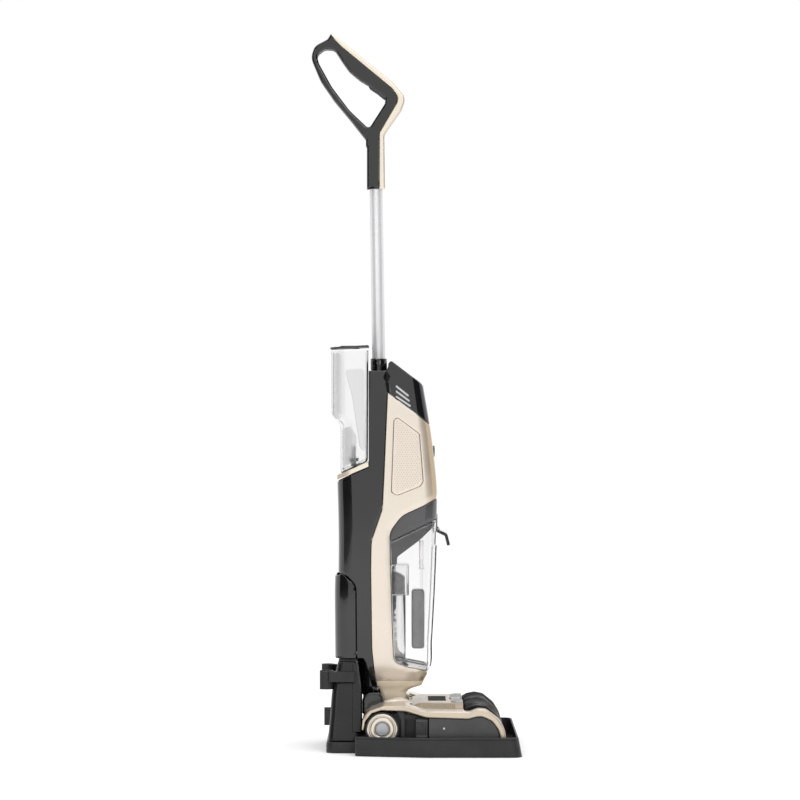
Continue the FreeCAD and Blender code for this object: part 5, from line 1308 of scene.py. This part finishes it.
WINDOW_TOP = [(100.8, 62.0), (100.8, 70.5, 3), (108.0, 75.0, 8), (121.0, 77.6, 12), (135.0, 75.0, 12),
              (152.0, 61.0, 24), (163.0, 42.0, 30), (164.8, 27.0)]
WINDOW_HALF = 117.0
WHEEL_SPOT = (-27.7, 41.2)
WHEEL_FACE = 131.0
BRUSH_SPOT = (128.0, 40.0)
PIVOT_SPOT = (-14.0, 49.0)
NECK_FORM = Form([
    (58, -27.0, 5.0, 27.0, 8, 8),
    (70, -28.5, 7.5, 29.0, 8, 10),
    (78, -29.2, 8.5, 30.0, 7, 11),
    (86, -30.5, 9.5, 31.5, 6, 12),
    (92, -32.0, 12.5, 33.0, 5, 13),
    (96, -33.6, 19.5, 34.8, 4.5, 13.5),
    *((z, -36.6 - 0.17 * (z - 100), UPRIGHT.at(z)[1] + 0.7, UPRIGHT.at(z)[2] + 0.7, 3, UPRIGHT.at(z)[4])
      for z in (101, 103, 105, 107, 109)),
])


def foot_half(x):
    """Half the foot's width: narrower at the wheels than at the brush roll."""
    return 133.0 + 12.0 * float(smooth(x, -12.0, 52.0))


def side_plate(name, outline, face, thick, edge, grid, side, **more):
    """A plate that stands upright at one side, its outer face at distance face(x) from the middle."""
    return plate(name, outline, lambda x, z, d: (x, side * (face(x) - d), z), thick, edge, grid=grid, **more)


def relief(name, xs, ys, height, low):
    """A block with a moulded top: height(x, y) over the whole grid, and a flat underside at low."""
    across, along = np.meshgrid(ys, xs)
    tops = height(along, across)
    verts = [(x, y, tops[i, j]) for i, x in enumerate(xs) for j, y in enumerate(ys)]
    verts += [(x, y, low) for x in xs for y in ys]
    rows, cols = len(xs), len(ys)
    under = rows * cols
    polygons = []
    for i in range(rows - 1):
        for j in range(cols - 1):
            a, b = i * cols + j, (i + 1) * cols + j
            polygons.append((a, b, b + 1, a + 1))
    rim = list(range(cols)) + [i * cols + cols - 1 for i in range(1, rows)]
    rim += [(rows - 1) * cols + j for j in range(cols - 2, -1, -1)]
    rim += [i * cols for i in range(rows - 2, 0, -1)]
    for k, a in enumerate(rim):
        b = rim[(k + 1) % len(rim)]
        polygons.append((a, b, b + under, a + under))
    polygons.append(tuple(a + under for a in rim))
    return mesh_object(name, verts, polygons, 50.0)


def make_foot_cover():
    """Gold cover of the foot: side strips, the top beside the neck's slot, the slot's walls, two cheeks."""
    top = Ribbon(rounded(COVER_TOP, closed=False))
    strip_edge = rounded(COVER_TOP + COVER_LOW)
    deck_start, deck_end, end = top.t_at(15.6), top.t_at(100.0), top.lengths[-1]
    inner = rounded([(0.0, 45.5), (deck_start, 45.5, 4), (deck_start, 98.2, 2), (deck_end, 98.2, 2),
                     (deck_end, 118.0, 3), (end, 118.0)], closed=False, step=4.0)
    outer = [Vector((t, foot_half(top.on_line(t)[0].x) - 2.7)) for t in np.arange(0.0, end, 3.0)]
    outer.append(Vector((end, 142.3)))
    for side, label in SIDES:
        strip = side_plate(f"cover_side_{label}", strip_edge, foot_half, 3.2, 2.6, 3.0, side,
                           back_edge=0.4)
        # the side strips wear the darker copy of the gold paint, as painted shade
        dress(strip, "foot", "gold_paint", "gold_foot_painted_shade", replaces=["foot_cover"] if side > 0 else ())
        outline = with_ends([Vector((p.x, side * p.y)) for p in inner],
                            [Vector((p.x, side * p.y)) for p in outer[::-1]])
        roof = plate(f"cover_top_{label}", outline, top.place, 2.4, 0.7, grid=5.0)
        dress(roof, "foot", "gold_paint")
        lean = rounded([(-26.0, 75.5, 1), (-26.0, 77.5, 2), (-6.0, 83.5, 8), (3.0, 84.4, 6),
                        (20.0, 76.0, 4), (20.0, 75.0, 1)], step=2.0)

        def leaning(x, z, depth, side=side):
            return (x, side * (60.0 - 1.05 * (z - 75.0) - 0.7 * depth), z - 0.7 * depth)

        cheek = plate(f"neck_cheek_{label}", lean, leaning, 2.6, 1.0, grid=3.0, back_edge=0.3)
        dress(cheek, "foot", "gold_paint")
        wall = rounded([(-26.0, 62.0), (-26.0, 77.3, 2), (-6.0, 83.3, 8), (3.0, 84.2, 6), (15.6, 78.0, 3),
                        (15.6, 62.0)], step=2.0)
        lining = plate(f"slot_wall_{label}", wall, lambda u, v, d, side=side: (u, side * (45.8 + d), v), 5.2,
                       0.9, grid=4.0, back_edge=0.6)
        dress(lining, "foot", "gold_paint")


def deck_height(x, y):
    """Top of the deck: a flat crown that falls to both sides, its slopes ribbed."""
    across = 1 - smooth(np.abs(y), 73.0, 97.0)
    along = 0.55 + 0.45 * smooth(x, 16.0, 35.0)
    crown = 67.4 + 9.8 * across * along
    ribs = 0.5 - 0.5 * np.cos(x * math.tau / 3.1)
    on_slope = smooth(np.abs(y), 76.0, 78.0) * (1 - smooth(np.abs(y), 93.0, 95.5))
    span = smooth(x, 33.0, 36.0) * (1 - smooth(x, 84.0, 87.0))
    seat = (1 - smooth(np.abs(y), 38.0, 39.0)) * smooth(x, 43.0, 44.0) * (1 - smooth(x, 74.0, 75.0))
    latch_room = (1 - smooth(np.abs(y), 15.7, 16.3)) * smooth(x, 79.0, 79.8)
    return crown - 1.1 * ribs * on_slope * span - 0.9 * seat - 5.0 * latch_room


def make_pivot_covers():
    """Black covers on the foot that close off the pivot behind the cheeks."""
    outline = rounded([(-59.6, 58.0, 2), (-59.6, 82.0, 12), (-53.0, 91.5, 10), (-33.0, 91.5, 5),
                       (-27.4, 84.0, 3), (-27.4, 58.0, 2)], step=2.0)
    rim = (as_loops(outline), 3.2)
    for side, label in SIDES:
        cover = plate(f"pivot_cover_{label}", outline, beside(side, 58.4), 12.0, 0.6, grid=4.0, soft=rim)
        dress(cover, "foot", "black_gloss")


def make_deck():
    """Deck between the neck and the roll: ribbed hump, sunk plaque, and the locking bar of the roll cover."""
    xs = np.arange(16.2, 99.3, 0.62)
    spans = [(-97.8, -73.0, 19), (-70.0, -17.0, 22), (-16.2, -15.6, 3), (-12.0, 12.0, 7), (15.6, 16.2, 3),
             (17.0, 70.0, 22), (73.0, 97.8, 19)]
    ys = np.concatenate([np.linspace(*span) for span in spans])
    deck = relief("deck_hump", xs, ys, deck_height, 65.0)
    # the deck wears the darker copy of the gold paint, as painted shade
    dress(deck, "foot", "gold_paint", "gold_deck_painted_shade", replaces=["deck_panel"])
    outline = rectangle((45.0, -37.0), (73.0, 37.0), 3)
    inlay = as_loops(rectangle((49.0, -31.0), (69.0, 31.0), 2))
    plaque = plate("deck_plaque", outline, at_level(77.4), 1.1, 0.5, grid=3.0,
                   crown=lambda p: np.where(inside(p, inlay), 0.4, 0.0))
    dress(plaque, "foot", "dark_grey", "plaque")
    for side, label in SIDES:
        bar = rounded([(81.0, side * 22.0, 2), (98.6, side * 22.0, 2), (98.6, side * 70.0, 2),
                       (88.0, side * 70.0, 6), (81.0, side * 60.0, 3)])
        lock = plate(f"lock_bar_{label}", bar, at_level(79.0), 3.4, 1.0, grid=1.6,
                     crown=lambda p: 0.35 * (1 + np.cos(p[:, 1] * math.tau / 4.4)) * (p[:, 0] > 85.0))
        dress(lock, "foot", "mid_grey")
    catch = rectangle((80.8, -14.8), (96.4, 14.8), 2)

    def ribs(points):
        wave = 0.3 * (1 + np.cos(points[:, 0] * math.tau / 2.6))
        return np.where(distances(points, as_loops(catch)) > 2.0, wave, 0.0)

    press = plate("latch_button", catch, at_level(78.6), 3.6, 1.2, grid=1.3, crown=ribs)
    dress(press, "cover_latch", "motor_metal", replaces=["cover_latch"])


def make_brush_cover():
    """Smoked cover over the roll: a hump with a dished middle, and closed ends."""
    line = rounded(WINDOW_TOP, closed=False)

    def dish(points):
        t, y = points[:, 0], np.abs(points[:, 1])
        bowl = smooth(t, 14.0, 24.0) * (1 - smooth(t, 62.0, 78.0)) * (1 - smooth(y, 82.0, 96.0))
        fold = 0.8 * np.exp(-(((y - 40.0) / 5.0) ** 2)) * smooth(t, 10.0, 30.0)
        return 1.1 * bowl + fold

    hump = bent_plate("roll_cover", line, 0.0, 3.2, lambda x, z: WINDOW_HALF - 1.8, 0.4, 4.0, crown=dish)
    dress(hump, "brush_cover", "smoke_window", replaces=["brush_cover"])
    low = [(162.0, 27.0), (160.2, 42.0, 30), (149.5, 59.0, 24), (133.5, 71.0, 12), (121.0, 73.2, 12),
           (109.0, 70.4, 8), (104.4, 62.0, 3)]
    outline = rounded(WINDOW_TOP + low)
    for side, label in SIDES:
        wall = plate(f"roll_cover_end_{label}", outline, beside(side, WINDOW_HALF), 2.4, 1.8, grid=3.0,
                     back_edge=0.3)
        dress(wall, "brush_cover", "smoke_window")


def turned_y(name, profile, spot, face, side, around=96):
    """A turned piece on a cross axis, from (radius, distance in from its outer face) corners."""
    return spun(name, [(radius, -side * depth) for radius, depth in profile], (spot[0], side * face, spot[1]),
                "y", around)


def make_foot_sides():
    """End plates of the roll, the ribbed latches behind them and the wall beside each wheel."""
    latch = rectangle((24.6, 28.0), (43.6, 57.6), 2, step=2.0)

    def ribs(points):
        wave = 0.5 + 0.5 * np.cos((points[:, 0] - 26.6) * math.tau / 3.9)
        waist = smooth(points[:, 1], 30.5, 33.0) * (1 - smooth(points[:, 1], 51.5, 54.0))
        return (0.4 + 1.5 * (1 - wave)) * waist

    wall = rounded([(1.0, 27.0, 1), (7.4, 27.0, 1), (7.4, 66.0, 1), (-6.0, 68.2, 1), (-3.2, 63.0, 2),
                    (1.0, 53.0, 3)])
    for side, label in SIDES:
        panel = plate(f"end_plate_{label}", rounded(PANEL_EDGE), beside(side, 142.4), 6.9, 1.0, grid=4.0,
                      back_edge=0.4)
        dress(panel, "foot", "dark_grey", replaces=["side_panels"] if side > 0 else ())
        profile = [(0.01, 0.0), (1.1, 0.0), (1.6, 0.3), (1.6, 1.2), (0.01, 1.2)]
        dot = turned_y(f"end_plate_dot_{label}", profile, (68.5, 43.5), 142.7, side, 24)
        dress(dot, "foot", "light_grey")
        clasp = plate(f"side_clasp_{label}", latch, beside(side, 138.0), 20.0, 1.0, grid=0.95, back_edge=0.5,
                      crown=ribs)
        dress(clasp, "foot", "dark_grey", replaces=["side_latches"] if side > 0 else ())
        guard = plate(f"wheel_wall_{label}", wall, beside(side, 116.6), 2.2, 0.7, grid=4.0, back_edge=0.4)
        dress(guard, "foot", "dark_grey")


def make_wheels():
    """Cream wheels with a grooved face and a dark ribbed tyre, on grey capped axles."""
    hub = [(4.1, 21.8), (22.8, 21.8), (24.1, 21.0), (24.1, 2.0), (23.8, 0.9), (23.0, 0.25), (22.0, 0.0),
           (21.2, 0.2), (20.6, 0.9), (20.2, 4.6), (18.6, 4.8), (18.2, 2.2), (17.5, 1.4), (16.4, 1.1),
           (14.0, 1.5), (12.2, 2.1), (11.4, 3.0), (10.6, 3.5), (4.1, 3.5)]
    tyre = [(24.2, 21.0), (25.0, 21.4), (26.0, 20.8), (26.5, 19.6)]
    for k in range(6):
        pitch = 2.9 * k
        tyre += [(26.5, 18.6 - pitch), (25.9, 18.3 - pitch), (25.9, 17.6 - pitch), (26.5, 17.3 - pitch)]
    tyre += [(26.5, 1.9), (26.1, 1.1), (25.4, 0.8), (24.6, 0.9), (24.2, 1.3)]
    cap = [(0.01, -0.4), (7.6, -0.4), (8.2, -0.1), (8.8, -0.4), (9.3, -0.2), (9.7, 0.3), (9.7, 1.8),
           (3.9, 1.9), (3.9, 38.0), (0.01, 38.0)]
    for side, label in SIDES:
        rim = turned_y(f"wheel_face_{label}", hub, WHEEL_SPOT, WHEEL_FACE, side)
        dress(rim, f"wheel_{label}", "wheel_cream", replaces=[f"wheel_hub_{label}"])
        band = turned_y(f"wheel_tyre_{label}", tyre, WHEEL_SPOT, WHEEL_FACE, side)
        dress(band, f"wheel_{label}", "tyre_rubber", replaces=[f"tyre_{label}"])
        axle = turned_y(f"wheel_cap_{label}", cap, WHEEL_SPOT, WHEEL_FACE, side, 64)
        dress(axle, "foot", "mid_grey", "axle_grey", replaces=["wheel_axles"] if side > 0 else ())


def make_neck():
    """Gold neck that flows out of the cup, and the pivot drum at its foot."""
    neck = column("neck_shell", NECK_FORM, 58.0, 108.0, 0.3, 1.5, 96)
    # the neck wears the lighter copy of the gold paint, as painted light
    dress(neck, "upright", "gold_paint", "gold_neck_painted_light", replaces=["neck"])
    pivot = (PIVOT_SPOT[0], 0, PIVOT_SPOT[1])
    drum_profile = [(0.01, -33.0), (17.8, -33.0), (19.0, -31.8), (19.0, 31.8), (17.8, 33.0), (0.01, 33.0)]
    drum = spun("neck_drum", drum_profile, pivot, "y", 72)
    dress(drum, "upright", "black_satin")
    pin_profile = [(0.01, -42.0), (7.2, -42.0), (8.0, -41.2), (8.0, 41.2), (7.2, 42.0), (0.01, 42.0)]
    pins = spun("neck_pins", pin_profile, pivot, "y", 48)
    dress(pins, "upright", "black_satin")


def make_brush_pile():
    """Pile of the roll: twisted rows of tufts round the core."""
    levels = 118
    around_count = 108
    half_length = 113.6
    rings = []
    for i in range(levels + 1):
        y = -half_length + 2 * half_length * i / levels
        end = min(1.0, (half_length - abs(y)) / 2.5)
        ring = []
        for k in range(around_count):
            turn = math.tau * k / around_count
            tuft = math.cos(18 * turn + y * 0.35) * math.cos(y * 0.9 - 9 * turn)
            radius = 24.5 + 0.7 * tuft - 2.2 * (1 - end) ** 2
            ring.append((BRUSH_SPOT[0] + radius * math.cos(turn), y, BRUSH_SPOT[1] + radius * math.sin(turn)))
        rings.append(ring)
    tufts = skin("roll_pile", rings, 60.0)
    dress(tufts, "brush", "brush_pile", replaces=["brush_fibre"])


# ---------------------------------------------------------------- charging dock
TRAY_PLAN = [(190.0, -160.0, 14), (190.0, 160.0, 14), (37.0, 160.0, 8), (-70.0, 139.0, 4),
             (-70.0, -139.0, 4), (37.0, -160.0, 8)]
TOWER_FORM = Form([
    (17, -113.5, -66.5, 88.0, 9, 5),
    (58, -110.0, -67.2, 80.0, 9, 5),
    (100, -106.5, -68.0, 72.0, 9, 5),
    (121, -102.2, -68.5, 66.0, 9, 5),
    (141, -98.0, -69.0, 60.0, 9, 5),
])
SHOE_FORM = Form([
    (0, -116.0, -66.2, 98.0, 12, 2),
    (12, -116.0, -66.2, 97.6, 12, 2),
    (17.2, -115.4, -66.2, 96.6, 12, 2),
])


def make_tray():
    """Tray with a stepped line under its rim, the tower's shoe, the rests for the machine and drain ribs."""
    plan = as_loops(rounded(TRAY_PLAN, step=5.0))[0]
    normals = inward_normals(plan, math.copysign(1.0, signed_area(plan)))
    top = 30.6
    outer = [(0.0, 1.5), (0.5, 0.5), (1.6, 0.0), (8.0, 0.0), (16.0, 0.0), (24.0, 0.0), (26.6, 0.0),
             (27.0, 0.6), (27.8, 0.6), (28.2, 0.0), (29.6, 0.1), (30.3, 0.5), (top, 1.1)]
    inner = [(top, 2.1), (30.2, 2.8), (29.4, 3.0), (16.0, 3.0), (5.0, 3.0), (3.4, 3.6), (3.0, 5.0)]
    rings = []
    for z, inward in outer + inner:
        ring = []
        for (x, y), (nx, ny) in zip(plan, normals):
            lean = 6.0 * z / top * float(smooth(x, 150.0, 186.0))
            ring.append((x + nx * inward - lean, y + ny * inward, z))
        rings.append(ring)
    tray = skin("tray_shell", rings)
    dress(tray, "dock", "dock_black", replaces=["dock_tray"])
    shoe = column("tower_shoe", SHOE_FORM, 0.0, 17.0, 1.6, 3.0, 90)
    dress(shoe, "dock", "dock_black")
    for side, label in SIDES:
        pad = rectangle((-46.0, side * 112.0), (-8.0, side * 129.0), 3)
        rest = plate(f"wheel_pad_{label}", pad, at_level(14.5), 12.0, 1.4, grid=4.0)
        dress(rest, "dock", "dock_black", "black_satin")
        ledge = rectangle((120.0, side * 137.0), (150.0, side * 143.0), 2)
        prop = plate(f"panel_rest_{label}", ledge, at_level(17.7), 15.0, 0.8, grid=3.0)
        dress(prop, "dock", "dock_black", "black_satin")
    for k in range(9):
        middle = -99.0 + 25.0 * k
        rib_edge = rectangle((40.0, middle - 1.1), (168.0, middle + 1.1), 1)
        rib = plate(f"drain_rib_{k}", rib_edge, at_level(7.0), 4.2, 0.6, grid=4.0)
        dress(rib, "dock", "dock_black", "black_satin")


def make_tower():
    """Tower that holds the upright's charging contacts, with a raised flange down each side."""
    tower = column("tower_shell", TOWER_FORM, 17.2, 141.0, 2.6, 4.0, 100)
    dress(tower, "dock", "dock_black", "dock_gloss", replaces=["dock_tower"])
    flange = rounded([(-75.0, 32.0), (-61.3, 32.0, 1), (-61.3, 104.0, 16), (-66.0, 139.0, 3),
                      (-75.0, 139.0, 2)])
    for side, label in SIDES:

        def on_flank(x, z, depth, side=side):
            return (x, side * (TOWER_FORM.at(z)[2] + 1.0 - depth), z)

        rail = plate(f"tower_rail_{label}", flange, on_flank, 3.4, 0.9, grid=4.0, back_edge=0.3)
        dress(rail, "dock", "dock_black", "dock_gloss")


def make_tower_pad():
    """Soft pad on the tower round the charging contacts."""
    pad = rounded([(-96.5, -57.0, 6), (-67.2, -57.0, 3), (-67.2, 57.0, 3), (-96.5, 57.0, 6)])
    well = rectangle((-95.0, -27.0), (-73.0, 27.0), 2)
    made = plate("tower_pad", pad, at_level(144.6), 3.7, 1.2, [well], 5.0)
    dress(made, "dock", "soft_rubber")


# ---------------------------------------------------------------- the CAD nodes that stay
def soften_cad_nodes():
    """Moulded edges on the CAD nodes that keep their shape."""
    widths = {"accessory_clips": 1.2, "power_inlet": 0.8, "contact_block": 0.5, "tube_collar": 1.0,
              "dock_pads": 0.5, "foot_chassis": 0.5, "display_panel": 0.4, "suction_nozzle": 0.5}
    for name, width in widths.items():
        if name in NODES:
            bevel = NODES[name].modifiers.new("moulded_edges", "BEVEL")
            bevel.width = width * MM
            bevel.segments = 3
            bevel.limit_method = "ANGLE"
            bevel.angle_limit = math.radians(40)
            bevel.harden_normals = True


def finish_cad_nodes():
    """Every CAD node that stays shown gets its finished material."""
    slots = {part["node"]: part["material_slot"] for part in frame["record"]["subparts"]}
    for name, node in NODES.items():
        node.data.materials.clear()
        node.data.materials.append(MATERIALS[slots[name]])


make_camera()
make_studio()
make_stage()
finish_cad_nodes()
make_front_shell()
make_grilles()
make_tube()
make_rear_shell()
make_tail()
make_joint_lining()
make_battery()
make_top_cover()
make_dirty_tank()
make_clean_tank()
make_handle()
make_foot_cover()
make_pivot_covers()
make_deck()
make_brush_cover()
make_foot_sides()
make_wheels()
make_neck()
make_brush_pile()
make_tray()
make_tower()
make_tower_pad()
soften_cad_nodes()
